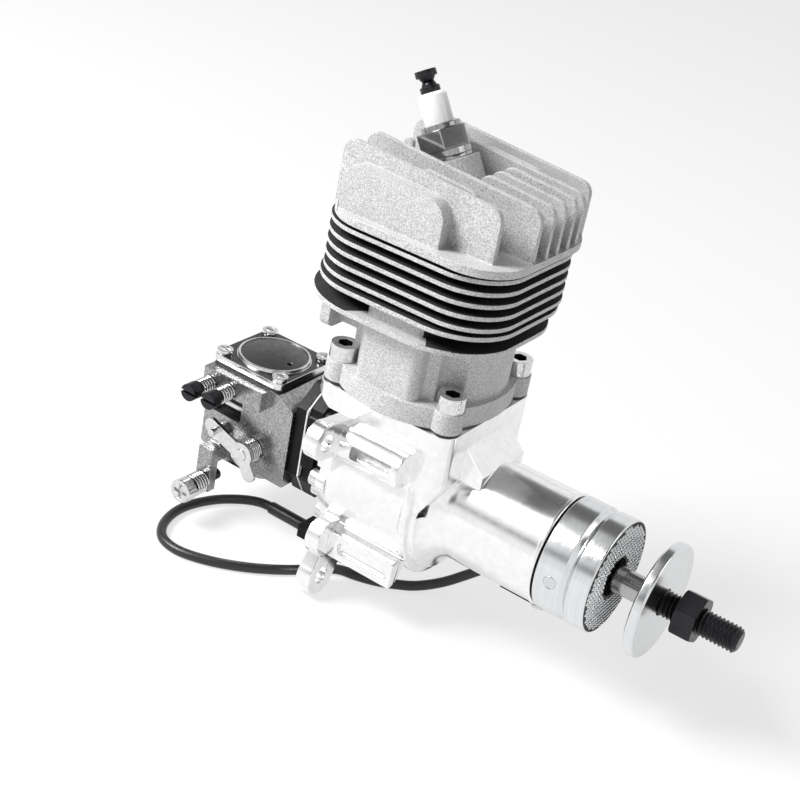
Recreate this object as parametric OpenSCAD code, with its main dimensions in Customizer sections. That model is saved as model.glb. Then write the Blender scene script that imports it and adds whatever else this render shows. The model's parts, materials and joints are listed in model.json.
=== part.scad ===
// Single-cylinder model aircraft engine, two-stroke, petrol, reed induction.
// Units are millimetres. The origin is on the crank axis, in the rear plane
// of the mounting lugs. +X runs forward to the propeller, +Z up the cylinder.

/* [Running gear] */
// Diameter of the cylinder bore
bore_d = 32; // [30:0.5:34]
// Full travel of the piston
stroke = 26; // [24:0.5:27]
// Distance between the two eyes of the connecting rod
rod_len = 48.5; // [47:0.5:52]
// Diameter of the wrist pin
wrist_d = 8; // [7:0.5:9]
// Diameter of the crank pin
crank_pin_d = 9; // [8.5:0.5:9.5]
// Diameter of the crankshaft in its bearings
journal_d = 15; // [14:0.5:15]
// Outside diameter of the main bearings
bearing_d = 32; // [31.5:0.5:32.5]
// Width of one main bearing
bearing_w = 9; // [8:0.5:10]

/* [Crankcase] */
// Outside diameter of the round crankcase body
case_d = 52; // [51:0.5:54]
// Outside diameter of the straight nose
nose_d = 35.4; // [35:0.2:37]
// Front end of the nose, ahead of the mounting plane
nose_x = 68.7; // [66:0.1:72]
// Height of the cylinder deck above the crank axis
deck_z = 30.5; // [30:0.5:34]
// Thickness of the four mounting lugs
lug_t = 5; // [4:0.5:7]
// Diameter of the four mounting holes
lug_hole_d = 5.3; // [4.5:0.1:6]
// Sideways place of the upper mounting holes
upper_hole_y = 36; // [34:0.5:40]
// Height of the upper mounting holes
upper_hole_z = 19.5; // [18:0.5:22]
// Sideways place of the lower mounting holes
lower_hole_y = 26.5; // [25:0.5:30]
// Drop of the lower mounting holes
lower_hole_z = -31.5; // [-34:0.5:-30]

/* [Cylinder] */
// Place of the cylinder axis ahead of the mounting plane
cyl_x = 13; // [13:0.1:13.5]
// Lengthwise pitch of the cylinder base screws
base_pitch_x = 38.2; // [37:0.1:39]
// Crosswise pitch of the cylinder base screws
base_pitch_y = 37.2; // [36:0.1:38]
// Radius of the round part of the cylinder
barrel_r = 23.6; // [23:0.1:24.5]
// Thickness of one cooling fin
fin_t = 1.4; // [1:0.1:1.8]
// Height step from fin to fin
fin_step = 3.62; // [3.4:0.02:3.8]
// Thickness of an upright plate of the head
plate_t = 1.8; // [1.4:0.1:2.4]
// Backward lean of the spark plug
plug_tilt = 31.8; // [28:0.1:34]

/* [Propeller end] */
// Diameter of the propeller hub and washer
hub_d = 36; // [34:0.5:37]
// Diameter of the propeller thread
thread_d = 8; // [7.8:0.1:8.2]
// Front end of the thread
shaft_tip_x = 126.5; // [124:0.5:130]
// Thickness of the propeller washer
washer_t = 3.3; // [3:0.1:4]
// Width across the flats of the propeller nut
nut_af = 13; // [12.5:0.1:13.5]
// Height of the propeller nut
nut_h = 6.7; // [6:0.1:8]

/* [Carburettor] */
// Diameter of the throttle bore
throat_d = 13; // [11:0.5:14]
// Drop of the throttle bore below the crank axis
throat_z = -10.5; // [-11.5:0.1:-10]
// Width of the square metering cover
cover_w = 28; // [27:0.5:29]
// Inset of the cover screws from the edges of the cover
cover_screw_in = 2.7; // [2.5:0.1:3]
// Diameter of the throttle shaft
throttle_shaft_d = 4; // [3.6:0.1:4.4]

/* [Sensor lead] */
// Diameter of the round sensor lead
lead_d = 3.2; // [2.8:0.1:3.4]

/* [Hidden] */
$fn = 64;
run = 0.04;          // radial running clearance
gap = 0.3;           // clearance between pieces that stay apart
bore_r = bore_d / 2;
crank_r = stroke / 2;
pin_tdc_z = crank_r + rod_len;
comp_h = 15;         // crown above the wrist pin
skirt_h = 11.5;      // skirt below the wrist pin
crown_z = pin_tdc_z + comp_h;
bdc_skirt_z = pin_tdc_z - stroke - skirt_h;
head_z = crown_z + 0.8;
wrist_r = wrist_d / 2;
crank_pin_r = crank_pin_d / 2;
journal_r = journal_d / 2;
seat_r = bearing_d / 2;
case_r = case_d / 2;
nose_r = nose_d / 2;
cavity_r = 21.6;
cavity_x = 26.5;
web_x0 = 18.5;
web_x1 = 25.5;
web_r = 20.5;
rod_x0 = cyl_x - 4;
rod_x1 = cyl_x + 4;
big_r = crank_pin_r + 3;
rod_swing = 15.5;     // lean of the rod to each side
low_pin_y = rod_len * sin(rod_swing);
low_pin_z = pin_tdc_z - stroke - rod_len * cos(rod_swing);
b1_x0 = 27;
b1_x1 = b1_x0 + bearing_w;
b2_x1 = nose_x - 3.7;
b2_x0 = b2_x1 - bearing_w;
ball_r = 2.6;
pitch_r = (seat_r + journal_r) / 2;
inner_r = pitch_r - 2;
outer_r = pitch_r + 2;
balls = 9;
slot_y = 21.5;       // half width of the rod and transfer space
spigot_r = 18.4;
spigot_z = 25;
gasket_t = 0.5;
flange_z0 = deck_z + gasket_t;
flange_z1 = flange_z0 + 6.5;
screw_x = base_pitch_x / 2;
screw_y = base_pitch_y / 2;
m5_r = 2.5;
m5_head_r = 4.25;
m5_head_h = 4.9;
lug_r = 5.8;
lower_lug_r = 6.7;
lower_dir = [0.496, -0.868];
rib_up = [26, 16.5, 5.5];
rib_lo = [26, -18, 6];

cover_t = 3;         // rear cover flange
rear_screw_a = [-4, -44, 184, 224];
rear_screw_r = cavity_r + 2.15;
rear_screw_len = 10;
mani_x = -cover_t - gasket_t;
mani_end_x = -19;
spacer_x = mani_end_x - gasket_t;
carb_x = spacer_x - 4;
carb_end_x = -58;
throat_r = throat_d / 2;
body_top_z = 12.2;
body_bot_z = -20.8;
body_y = 14;
cover_x = -43.6;
cover_z0 = body_top_z + 1;
cover_z1 = 15.5;
cover_pitch = cover_w - 2 * cover_screw_in;
carb_bolt = [9.2, -1.8];
shaft_x = -36.5;     // throttle shaft
choke_x = -50;       // choke shaft
shaft_r = throttle_shaft_d / 2;
lever_y = -19.6;
needle = [[-54, 7], [-46, 7.6]];
side_y = -18;
nipple = [-30.5, 3.2];
idle = [-49.1, -25.6];

hub_x0 = nose_x + 0.5;
hub_x1 = hub_x0 + 17.3;
hub_r = hub_d / 2;
hub_seat_r = 5;
hub_step_x = hub_x1 - 4;
plain_r = thread_d / 2 + 0.12;
thread_x0 = 100;
thread_r = thread_d / 2;
washer_x = 99.1;
nut_x = 107.7;
magnet_x = hub_x0 + 5.3;

rim_z = 84.5;
fins_z = rim_z - 4.2 - fin_t / 2;
plug_seat = [4, 3, 98.4];
floor_z = -38.2;

silver = [0.80, 0.80, 0.79];
matte = [0.68, 0.69, 0.70];
black = [0.08, 0.08, 0.09];
steel = [0.62, 0.63, 0.65];
dark = [0.20, 0.20, 0.22];
zinc = [0.58, 0.58, 0.57];
white = [0.94, 0.94, 0.92];

// Helpers
module along_x(x0, x1, r, at = [0, 0], n = 64)
    translate([x0, at[0], at[1]]) rotate([0, 90, 0]) cylinder(h = x1 - x0, r = r, $fn = n);
module along_y(y0, y1, r, at = [0, 0], n = 48)
    translate([at[0], y0, at[1]]) rotate([-90, 0, 0]) cylinder(h = y1 - y0, r = r, $fn = n);
module along_z(z0, z1, r, at = [0, 0], n = 64)
    translate([at[0], at[1], z0]) cylinder(h = z1 - z0, r = r, $fn = n);
module block(a, b) translate(a) cube(b - a);
// flat outline with round corners: half sizes hx, hy and corner radius rc
module round_rect(hx, hy, rc) {
    square([2 * hx - 2 * rc, 2 * hy], center = true);
    square([2 * hx, 2 * hy - 2 * rc], center = true);
    for (i = [-1, 1], j = [-1, 1]) translate([i * (hx - rc), j * (hy - rc)]) circle(r = rc);
}
module plate_z(z0, z1) translate([0, 0, z0]) linear_extrude(z1 - z0) children();
// outline drawn in Y and Z, pushed along X
module plate_x(x0, x1) translate([x0, 0, 0]) rotate([90, 0, 90]) linear_extrude(x1 - x0) children();
// outline drawn in X and Z, pushed along Y
module plate_y(y0, y1) translate([0, y1, 0]) rotate([90, 0, 0]) linear_extrude(y1 - y0) children();
module turned_x() rotate([0, 90, 0]) rotate_extrude($fn = 96) children();
function arc(c, r, a0, a1, n = 8) =
    [for (i = [0 : n]) c + r * [cos(a0 + (a1 - a0) * i / n), sin(a0 + (a1 - a0) * i / n)]];
module at_base_screws() for (i = [-1, 1], j = [-1, 1])
    translate([cyl_x + i * screw_x, j * screw_y, 0]) children();
module both_sides() { children(); mirror([0, 1, 0]) children(); }
// places a part built up the plug axis, z = 0 on the plug seat
module at_plug() translate(plug_seat) rotate([0, -plug_tilt, 0]) children();
module at_rear_screws() for (a = rear_screw_a)
    translate([0, rear_screw_r * cos(a), rear_screw_r * sin(a)]) children();
module at_manifold_screws() for (i = [-1, 1], j = [-1, 1])
    translate([0, i * 14.3, j * 11.2]) children();

// Crankcase
module lug_arm(hole, dir, half, r, n) {
    // a bar from the hole inward with a round end
    a = atan2(dir[1], dir[0]);
    translate(hole) circle(r = r);
    translate(hole) rotate(a) translate([-n, -half]) square([n, 2 * half]);
}
module crankcase() color(silver) difference() {
    union() {
        turned_x() case_profile();
        // neck under the cylinder
        intersection() {
            plate_y(-24, 24) polygon([[-11, deck_z], [-11, deck_z - 3], [-4.8, 22.9], [0, 22.9],
                [3, 18], [3, 0], [30, 0], [37, 14], [37, deck_z]]);
            plate_z(0, deck_z) translate([13, 0]) round_rect(24, 24, 5);
        }
        // slope from the neck front down to the nose
        plate_y(-12, 12) polygon([[30, 10], [30, 24], [37, 24], [44, nose_r - 0.5], [44, 10]]);
        // lugs
        both_sides() {
            plate_x(0, lug_t) {
                lug_arm([upper_hole_y, upper_hole_z], [1, 0.12], lug_r - 0.2, lug_r, 20);
                lug_arm([lower_hole_y, lower_hole_z], lower_dir, lower_lug_r - 0.2, lower_lug_r, 22);
                translate([22, 8]) square([10, 14]);
            }
            // long ribs
            along_x(0, 26.5, rib_up[2], [rib_up[0], rib_up[1]]);
            along_x(0, 28.5, rib_lo[2], [rib_lo[0], rib_lo[1]]);
            // bosses behind the lower ribs
            along_x(-2, lug_t, 3.2, [23.6, -18.6], 32);
        }
        // flat foot for the speed sensor
        block([52, 3, -nose_r - 1.2], [66, 13, -10]);
    }
    // crank chamber, open to the rear
    along_x(-1, cavity_x, cavity_r);
    along_x(cavity_x - 0.1, b1_x1, seat_r);
    along_x(b1_x1 - 0.1, b2_x0 + 0.1, 12);
    along_x(b2_x0, nose_x + 1, seat_r);
    // cylinder spigot, piston relief and the rod and transfer space
    along_z(spigot_z, deck_z + 1, spigot_r + 0.1, [cyl_x, 0]);
    along_z(bdc_skirt_z - 0.5, spigot_z + 0.1, bore_r + 0.4, [cyl_x, 0]);
    block([cyl_x - 7, -slot_y, 0], [cyl_x + 7, slot_y, deck_z + 1]);
    // relief for the big end on its way round
    plate_x(rod_x0 - 1.1, web_x0) {
        for (j = [-1, 1]) translate([j * low_pin_y, low_pin_z]) circle(r = big_r + gap);
        translate([-low_pin_y - big_r - gap, low_pin_z]) square([2 * (low_pin_y + big_r + gap), 1 - low_pin_z]);
    }
    // base screw holes
    at_base_screws() along_z(26.4, deck_z + 1, m5_r + 0.05, [0, 0], 32);
    // rear cover screw holes
    at_rear_screws() along_x(-1, rear_screw_len - cover_t + 0.6, 1.5, [0, 0], 24);
    both_sides() {
        along_x(-3, lug_t + 1, lug_hole_d / 2, [upper_hole_y, upper_hole_z], 48);
        along_x(-3, lug_t + 1, lug_hole_d / 2, [lower_hole_y, lower_hole_z], 48);
        // slots in the ribs
        block([11.3, -rib_lo[0] - 8, -21.2], [25.2, -rib_lo[0] - 3, -16.6]);
        for (x = [11.3, 25.2]) along_y(-rib_lo[0] - 8, -rib_lo[0] - 3, 2.3, [x, -18.9], 32);
        block([10, -rib_up[0] - 8, 15], [24, -rib_up[0] - 3.2, 19]);
    }
    // curved grooves in the front face around the nose root
    intersection() {
        difference() { along_x(28.6, 33, 23.6); along_x(28, 34, 20.6); }
        block([28, -30, 2], [34, -7, 22]);
    }
    // hole for the sensor screw
    along_z(-nose_r - 3, -15, 1.25, [63, 8], 24);
}
module case_profile() {
    root_r = 7.5;
    // radius is drawn along x and the crank axis along y
    polygon([for (p = concat(
        [[0, 0], [0, case_r], [27.3, case_r], [27.8, case_r + 0.6], [29.4, case_r + 0.6],
         [29.9, case_r], [30.2, nose_r + root_r - 1]],
        arc([31.5 + root_r, nose_r + root_r], root_r, 188, 270, 8),
        [[nose_x - 1.6, nose_r], [nose_x - 0.9, nose_r + 0.3], [nose_x - 0.3, nose_r + 0.3],
         [nose_x, nose_r], [nose_x, 0]])) [p[1], p[0]]]);
}

// Rear of the crankcase
module rear_cover() color(silver) difference() {
    union() {
        intersection() {
            along_x(-cover_t, 0, case_r - 0.5);
            block([-cover_t, -30, -30], [0, 30, 22.6]);
        }
        intersection() {
            along_x(-0.01, 4, cavity_r - 0.1);
            block([-1, -30, -30], [5, 30, 20.5]);
        }
        at_rear_screws() along_x(-cover_t, 0, 3.4, [0, 0], 32);
    }
    plate_x(-cover_t - 1, 5) round_rect(9.6, 8.6, 1);
    plate_x(-cover_t - 1, -cover_t + 1.5) round_rect(11.6, 9.6, 1);
    at_rear_screws() along_x(-cover_t - 1, 1, 1.6, [0, 0], 24);
    at_manifold_screws() along_x(-cover_t - 1, 3, 1.5, [0, 0], 24);
}
module cap_screw_x(x, len, r, head_r, head_h, af) {
    // socket head on the low X side, shank toward +X
    difference() {
        along_x(x - head_h, x, head_r, [0, 0], 32);
        along_x(x - head_h - 1, x - head_h * 0.45, af / 2 / cos(30), [0, 0], 6);
    }
    along_x(x - 0.01, x + len, r, [0, 0], 24);
}
module rear_cover_screws() color(steel) at_rear_screws()
    cap_screw_x(-cover_t, rear_screw_len, 1.45, 2.75, 3, 2.5);
module ring_x(x0, x1, r0, r1) difference() {
    along_x(x0, x1, r1);
    along_x(x0 - 1, x1 + 1, r0);
}
module race_groove(x) translate([x, 0, 0]) turned_x() translate([pitch_r, 0]) circle(r = ball_r + 0.03, $fn = 40);
module bearing_outer_rings() color(steel) for (x = [b1_x0, b2_x0]) difference() {
    ring_x(x, x + bearing_w, outer_r, seat_r);
    race_groove(x + bearing_w / 2);
}
module bearing_inner_rings() color(steel) for (x = [b1_x0, b2_x0]) difference() {
    ring_x(x, x + bearing_w, journal_r, inner_r);
    race_groove(x + bearing_w / 2);
}
module bearing_balls() color(steel) for (x = [b1_x0, b2_x0], i = [0 : balls - 1])
    translate([x + bearing_w / 2, pitch_r * cos(i * 360 / balls), pitch_r * sin(i * 360 / balls)])
        sphere(r = ball_r, $fn = 32);
module shaft_seal() color(black) difference() {
    ring_x(b2_x1, b2_x1 + 2.9, journal_r + 0.03, seat_r);
    ring_x(b2_x1 + 1.6, b2_x1 + 4, journal_r + 1.6, seat_r - 2.5);
}

// Cylinder
module flange_outline() {
    intersection() {
        translate([cyl_x, 1.5]) circle(r = 29, $fn = 120);
        translate([cyl_x, -1.5]) circle(r = 29, $fn = 120);
        translate([cyl_x - 13.1, 0]) circle(r = 38, $fn = 120);
        translate([cyl_x + 13.1, 0]) circle(r = 38, $fn = 120);
    }
    for (i = [-1, 1], j = [-1, 1]) translate([cyl_x + i * screw_x, j * screw_y]) circle(r = 4.7);
}
module fin(z, t, x0, x1, hy, rc) plate_z(z, z + t)
    translate([(x0 + x1) / 2, 0]) round_rect((x1 - x0) / 2, hy, rc);
// an upright head plate: x range at the base, heights at its rear and front
module head_plate(y, x0, x1, z_rear = 103.3, z_front = 99.5, t = plate_t, rc = 4) plate_y(y - t / 2, y + t / 2) {
    s = (z_front - z_rear) / 60;
    zr = z_rear + s * (x0 + 18);
    zf = z_rear + s * (x1 + 18);
    polygon(concat([[x0, rim_z - 1], [x1, rim_z - 1]],
        arc([x1 - rc, zf - rc], rc, 0, 90, 5), arc([x0 + rc, zr - rc], rc, 90, 180, 5)));
}
module exhaust_duct(grow) translate([cyl_x - 14, 0, 57.3]) rotate([0, -24, 0])
    plate_x(-24, 2) round_rect(10 + grow, 4 + grow, 2 + grow);
module finned_cylinder() color(matte) difference() {
    union() {
        along_z(spigot_z, flange_z0 + 1, spigot_r, [cyl_x, 0]);
        plate_z(flange_z0, flange_z1) flange_outline();
        // round body with hollows over the base screws
        difference() {
            along_z(flange_z1 - 0.1, 58, barrel_r, [cyl_x, 0], 96);
            at_base_screws() along_z(flange_z1, 56, 5.4, [0, 0], 40);
        }
        along_z(56, rim_z, 20.8, [cyl_x, 0]);
        // transfer passages bulge on both sides
        both_sides() plate_z(flange_z1 - 0.1, 62.5) translate([cyl_x, -19]) round_rect(10.5, 6.6, 3);
        // exhaust block at the rear
        intersection() {
            exhaust_duct(3.2);
            block([-18, -20, 38], [cyl_x, 20, 62]);
        }
        plate_x(-17.5, -14) translate([0, 50]) round_rect(17.5, 6.8, 3);
        block([-14.5, -12, 44.5], [0, 12, 56.5]);
        // level fins, the lowest ones are longer
        fin(56.3, 1.6, -23.8, 41.5, 29.7, 22.7);
        fin(62.2, 1.5, -21.4, 42.4, 28.8, 19);
        for (i = [0 : 4]) fin(fins_z - i * fin_step, fin_t, -20, 42.5, 28, 16.5);
        fin(rim_z - 2.5, 2.5, -18, 43.5, 28.5, 15);
        // head over the combustion chamber
        along_z(rim_z - 0.1, 90, 13.6, [cyl_x, 0]);
        at_plug() along_z(-14.5, 0, 8.6, [0, 0], 48);
        head_plate(-20, -16.3, 36.6);
        head_plate(-9, -16.5, 42.6);
        for (y = [-3, 3, 9]) {
            head_plate(y, 18.5, 43.2, rc = 3);
            head_plate(y, -15.5, -12.2, z_rear = 98, z_front = 96, rc = 1.5);
        }
        head_plate(15, -16.5, 42.6);
        head_plate(24, -15, 39.5);
        head_plate(-14.7, 5, 26, z_rear = 101.5, z_front = 99);
        head_plate(19.5, 4, 26, z_rear = 101.5, z_front = 99);
        head_plate(-23.2, -12, 22, z_rear = 98.6, z_front = 97, t = 4.8, rc = 6);
    }
    // bore and combustion chamber
    along_z(spigot_z - 1, head_z, bore_r, [cyl_x, 0]);
    intersection() {
        translate([cyl_x, 0, head_z]) sphere(r = 10);
        along_z(head_z - 0.1, 92, 11, [cyl_x, 0]);
    }
    // plug thread and a flat seat for its washer
    at_plug() along_z(-13.5, 1, 5.05, [0, 0], 40);
    at_plug() along_z(0, 20, 10.5, [0, 0], 48);
    at_plug() translate([0, 0, -13.4]) sphere(r = 5, $fn = 40);
    // exhaust port
    exhaust_duct(0);
    // transfer ports and their passages
    both_sides() {
        block([cyl_x - 7, -slot_y + 0.7, spigot_z - 1], [cyl_x + 7, -bore_r - 1.6, 57.5]);
        block([cyl_x - 6.5, -bore_r - 3, crown_z - stroke], [cyl_x + 6.5, -bore_r + 4, crown_z - stroke + 7]);
    }
    // base screw holes
    at_base_screws() along_z(flange_z0 - 1, flange_z1 + 1, m5_r + 0.2, [0, 0], 32);
    // threads for the silencer screws
    for (j = [-1, 1]) along_x(-19, -11, 1.95, [j * 13.6, 50], 32);
}
module base_gasket() color(black) difference() {
    plate_z(deck_z, flange_z0) intersection() {
        flange_outline();
        translate([cyl_x, 0]) round_rect(23.8, 23.8, 5);
    }
    along_z(deck_z - 1, flange_z0 + 1, spigot_r + 0.1, [cyl_x, 0]);
    block([cyl_x - 7, -slot_y, deck_z - 1], [cyl_x + 7, slot_y, flange_z0 + 1]);
    at_base_screws() along_z(deck_z - 1, flange_z0 + 1, m5_r + 0.3, [0, 0], 32);
}
module base_screws() color(dark) at_base_screws() difference() {
    union() {
        along_z(flange_z1, flange_z1 + m5_head_h, m5_head_r, [0, 0], 40);
        along_z(26.8, flange_z1 + 0.1, m5_r, [0, 0], 32);
    }
    along_z(flange_z1 + m5_head_h - 2.7, flange_z1 + 9, 2 / cos(30), [0, 0], 6);
}

// Spark plug
module plug_washer() color(steel) at_plug() difference() {
    along_z(0, 1.2, 6.8, [0, 0], 40);
    along_z(-1, 2, 5.1, [0, 0], 40);
}
module plug_shell() color(steel) at_plug() difference() {
    union() {
        along_z(-12.5, 1.3, 5, [0, 0], 40);
        along_z(1.2, 3.2, 6.9, [0, 0], 40);
        along_z(3.2, 9, 7 / cos(30), [0, 0], 6);
        along_z(9, 10.6, 5.9, [0, 0], 40);
    }
    along_z(-13, 12, 3.3, [0, 0], 40);
    along_z(8, 12, 4.35, [0, 0], 40);
}
module plug_insulator() color(white) at_plug() difference() {
    union() {
        along_z(-11.5, 9, 3.25, [0, 0], 40);
        along_z(8, 16.5, 4.25, [0, 0], 40);
        along_z(16.5, 21.7, 3.9, [0, 0], 40);
    }
    along_z(-13, 23, 1.05, [0, 0], 24);
}
module plug_terminal() color(black) at_plug() {
    along_z(-13.2, 22, 1, [0, 0], 24);
    along_z(21.7, 22.6, 3.2, [0, 0], 32);
    along_z(22.6, 24, 2.1, [0, 0], 32);
    along_z(24, 26, 3.1, [0, 0], 32);
}

// Reed valve and manifold
reed_x = -cover_t + 1.5;
reed_tip_x = 6.2;
module reed_wedge(grow) plate_y(-8.9, 8.9) polygon([[reed_x - 0.1, -7.6 - grow],
    [reed_tip_x, -0.9 - grow], [reed_tip_x, 0.9 + grow], [reed_x - 0.1, 7.6 + grow]]);
module reed_block() color(dark) difference() {
    union() {
        plate_x(-cover_t, reed_x) round_rect(11.4, 9.4, 0.9);
        reed_wedge(0);
    }
    // hollow inside, with windows through both slopes
    plate_y(-7.6, 7.6) polygon([[-cover_t - 1, -6.3], [reed_x, -6.3], [4.3, -0.2], [4.3, 0.2],
        [reed_x, 6.3], [-cover_t - 1, 6.3]]);
    for (y = [-4, 4]) block([0.2, y - 3, -10], [3.6, y + 3, 10]);
}
module reed_petals() color([0.3, 0.3, 0.3]) both_petals() plate_y(-8.4, 8.4)
    polygon([[0, 0.02], [7.4, 0.02], [7.4, 0.3], [0, 0.3]]);
module both_petals() {
    a = atan2(6.7, reed_tip_x - reed_x + 0.1);
    for (m = [0, 1]) mirror([0, 0, m]) translate([reed_x + 0.4, 0, 7.6 - 0.5 * tan(a)])
        rotate([0, a, 0]) children();
}
module manifold_gasket() color([0.75, 0.72, 0.62]) difference() {
    plate_x(mani_x, -cover_t) round_rect(17.8, 13.8, 4);
    plate_x(mani_x - 1, 0) round_rect(8.2, 7, 1);
    at_manifold_screws() along_x(mani_x - 1, 0, 1.7, [0, 0], 24);
}
module mount_outline(in = 0) polygon([[-12.5 + in, -13], [-8, -20.5 + in], [8, -20.5 + in],
    [12.5 - in, -13], [12.5 - in, 10.6], [4, 17 - in], [-4, 17 - in], [-12.5 + in, 10.6]]);
module at_carb_bolts() for (j = [-1, 1]) translate([0, j * carb_bolt[0], carb_bolt[1]]) children();
module intake_manifold() color(black) difference() {
    union() {
        plate_x(mani_x - 4, mani_x) round_rect(18, 14, 4);
        plate_x(mani_end_x, mani_x - 3.9) intersection() {
            mount_outline(1);
            translate([0, -3]) square([22, 30], center = true);
        }
        plate_x(mani_end_x, mani_end_x + 5) mount_outline();
    }
    along_x(mani_end_x - 1, -8, throat_r + 0.5, [0, throat_z]);
    translate([0, 0, -4.5]) plate_x(-10.4, mani_x + 1) round_rect(8, 11.3, 2);
    at_manifold_screws() along_x(mani_x - 5, 0, 1.7, [0, 0], 24);
    at_manifold_screws() along_x(-22, mani_x - 4, 3.1, [0, 0], 32);
    at_carb_bolts() along_x(mani_end_x - 1, mani_end_x + 8.5, 2.05, [0, 0], 24);
}
module manifold_screws() color(steel) at_manifold_screws()
    cap_screw_x(mani_x - 4, 9.6, 1.45, 2.75, 3, 2.5);
module carb_gasket() color([0.75, 0.72, 0.62]) difference() {
    plate_x(spacer_x, mani_end_x) mount_outline();
    along_x(spacer_x - 1, 0, throat_r + 0.5, [0, throat_z]);
    at_carb_bolts() along_x(spacer_x - 1, 0, 2.2, [0, 0], 24);
}
module carb_spacer() color(black) difference() {
    plate_x(carb_x, spacer_x) mount_outline();
    along_x(carb_x - 1, 0, throat_r + 0.5, [0, throat_z]);
    at_carb_bolts() along_x(carb_x - 1, 0, 2.2, [0, 0], 24);
}

// Carburettor
module at_cover_screws() for (i = [-1, 1], j = [-1, 1])
    translate([cover_x + i * cover_pitch / 2, j * cover_pitch / 2, 0]) children();
module carb_body() color(zinc) difference() {
    union() {
        // block, mounting face and the domed inlet end
        plate_y(-body_y, body_y) polygon([[carb_x, -19], [carb_x, 8.5], [-29.8, body_top_z],
            [-57, body_top_z], [carb_end_x, 9], [carb_end_x, -17], [-54, body_bot_z + 2],
            [-33, body_bot_z + 2], [-27, -19]]);
        plate_z(body_top_z - 3, body_top_z) translate([cover_x, 0]) round_rect(cover_w / 2, cover_w / 2, 2.5);
        block([-57, side_y, 5.5], [-33.4, -12, body_top_z]);
        // shaft boss and the idle screw bracket
        along_y(-17, -body_y + 1, 4.6, [shaft_x, throat_z]);
        along_y(-16.5, -body_y + 1, 3.4, [choke_x, throat_z]);
        block([idle[0] - 2.9, -22, idle[1] - 3.2], [idle[0] + 2.9, -18.6, -13.4]);
        block([idle[0] - 2.9, -22, -18.4], [idle[0] + 2.9, -body_y + 1, -13.4]);
    }
    // throttle bore and the wider inlet
    along_x(carb_end_x - 1, carb_x + 1, throat_r, [0, throat_z]);
    along_x(carb_end_x - 1, choke_x + 8, throat_r + 1.1, [0, throat_z]);
    // metering chamber and its passage
    along_z(9.2, body_top_z + 1, 9.5, [cover_x, 0]);
    along_z(throat_z + 2, 10, 1, [-43, 2.5], 16);
    // shafts, needles and screws
    along_y(-18, body_y + 1, shaft_r + run, [shaft_x, throat_z], 32);
    along_y(-18, body_y + 1, 1.5 + run, [choke_x, throat_z], 32);
    for (n = needle) along_y(side_y - 1, -9.5, 1.55 + run, n, 24);
    along_y(-23, -18, 1.9 + run, idle, 24);
    at_cover_screws() along_z(9.4, body_top_z + 1, 1.3, [0, 0], 20);
    at_carb_bolts() along_x(carb_end_x - 1, carb_x + 1, 2.1, [0, 0], 24);
    // pulse chamber for the fuel pump below
    along_z(body_bot_z, body_bot_z + 3.2, 8, [cover_x + 1, 0]);
    along_y(body_y - 4, body_y + 1, 2.5, nipple, 40);
    along_y(4, body_y, 1.1, nipple, 24);
}
module carb_screws() color(steel) at_carb_bolts()
    cap_screw_x(carb_end_x, 46, 2, 3.5, 4, 3);
module carb_diaphragms() color([0.35, 0.35, 0.33]) difference() {
    plate_z(body_top_z, cover_z0) translate([cover_x, 0]) round_rect(cover_w / 2 - 0.2, cover_w / 2 - 0.2, 2.5);
    at_cover_screws() along_z(body_top_z - 1, cover_z0 + 1, 1.5, [0, 0], 20);
}
module metering_cover() color(steel) difference() {
    union() {
        plate_z(cover_z0, cover_z1) translate([cover_x, 0]) round_rect(cover_w / 2, cover_w / 2, 2.5);
        along_z(cover_z1 - 0.1, cover_z1 + 1, 11.75, [cover_x, 0]);
    }
    along_z(cover_z0 + 1, cover_z1 + 2, 10.9, [cover_x, 0]);
    along_z(cover_z0 - 1, cover_z1 + 2, 9, [cover_x, 0]);
    at_cover_screws() along_z(cover_z0 - 1, cover_z1 + 1, 1.5, [0, 0], 20);
}
module cover_dome() color(black) difference() {
    union() {
        along_z(cover_z0 + 1, cover_z1 + 0.7, 10.86, [cover_x, 0]);
        intersection() {
            translate([cover_x, 0, cover_z1 + 1.9 - 49.5]) sphere(r = 49.5, $fn = 128);
            along_z(cover_z1 + 0.6, cover_z1 + 2.2, 10.86, [cover_x, 0]);
        }
    }
    along_z(cover_z0, cover_z1 + 3, 0.9, [cover_x + 7.6, -2], 20);
}
module cover_screws() color(steel) at_cover_screws() difference() {
    union() {
        along_z(cover_z1, cover_z1 + 1.6, 2.6, [0, 0], 32);
        along_z(9.8, cover_z1 + 0.1, 1.25, [0, 0], 20);
    }
    for (a = [0, 90]) rotate(a) block([-1.5, -0.35, cover_z1 + 0.8], [1.5, 0.35, cover_z1 + 3]);
}
module pump_cover() color(steel) {
    plate_z(body_bot_z - 0.6, body_bot_z + 2) translate([cover_x + 1, 0]) difference() {
        round_rect(10.4, 12.4, 3);
        circle(r = 8.1);
    }
    along_z(body_bot_z - 2.4, body_bot_z - 0.6, 9.4, [cover_x + 1, 0]);
    along_z(body_bot_z - 3.9, body_bot_z - 2.3, 2.6, [cover_x + 1, 0], 32);
}
module fuel_nipple() color([0.8, 0.68, 0.36]) difference() {
    union() {
        along_y(body_y, body_y + 2, 3.3, nipple, 6);
        along_y(body_y - 4, body_y + 11.5, 2.5, nipple, 40);
    }
    along_y(body_y - 5, body_y + 13, 1.1, nipple, 24);
}
module throttle_shaft() color(steel) difference() {
    along_y(-20.6, body_y + 2.4, shaft_r, [shaft_x, throat_z], 32);
    block([shaft_x - 0.42, -throat_r + 0.1, throat_z - 3], [shaft_x + 0.42, throat_r - 0.1, throat_z + 3]);
}
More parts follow.
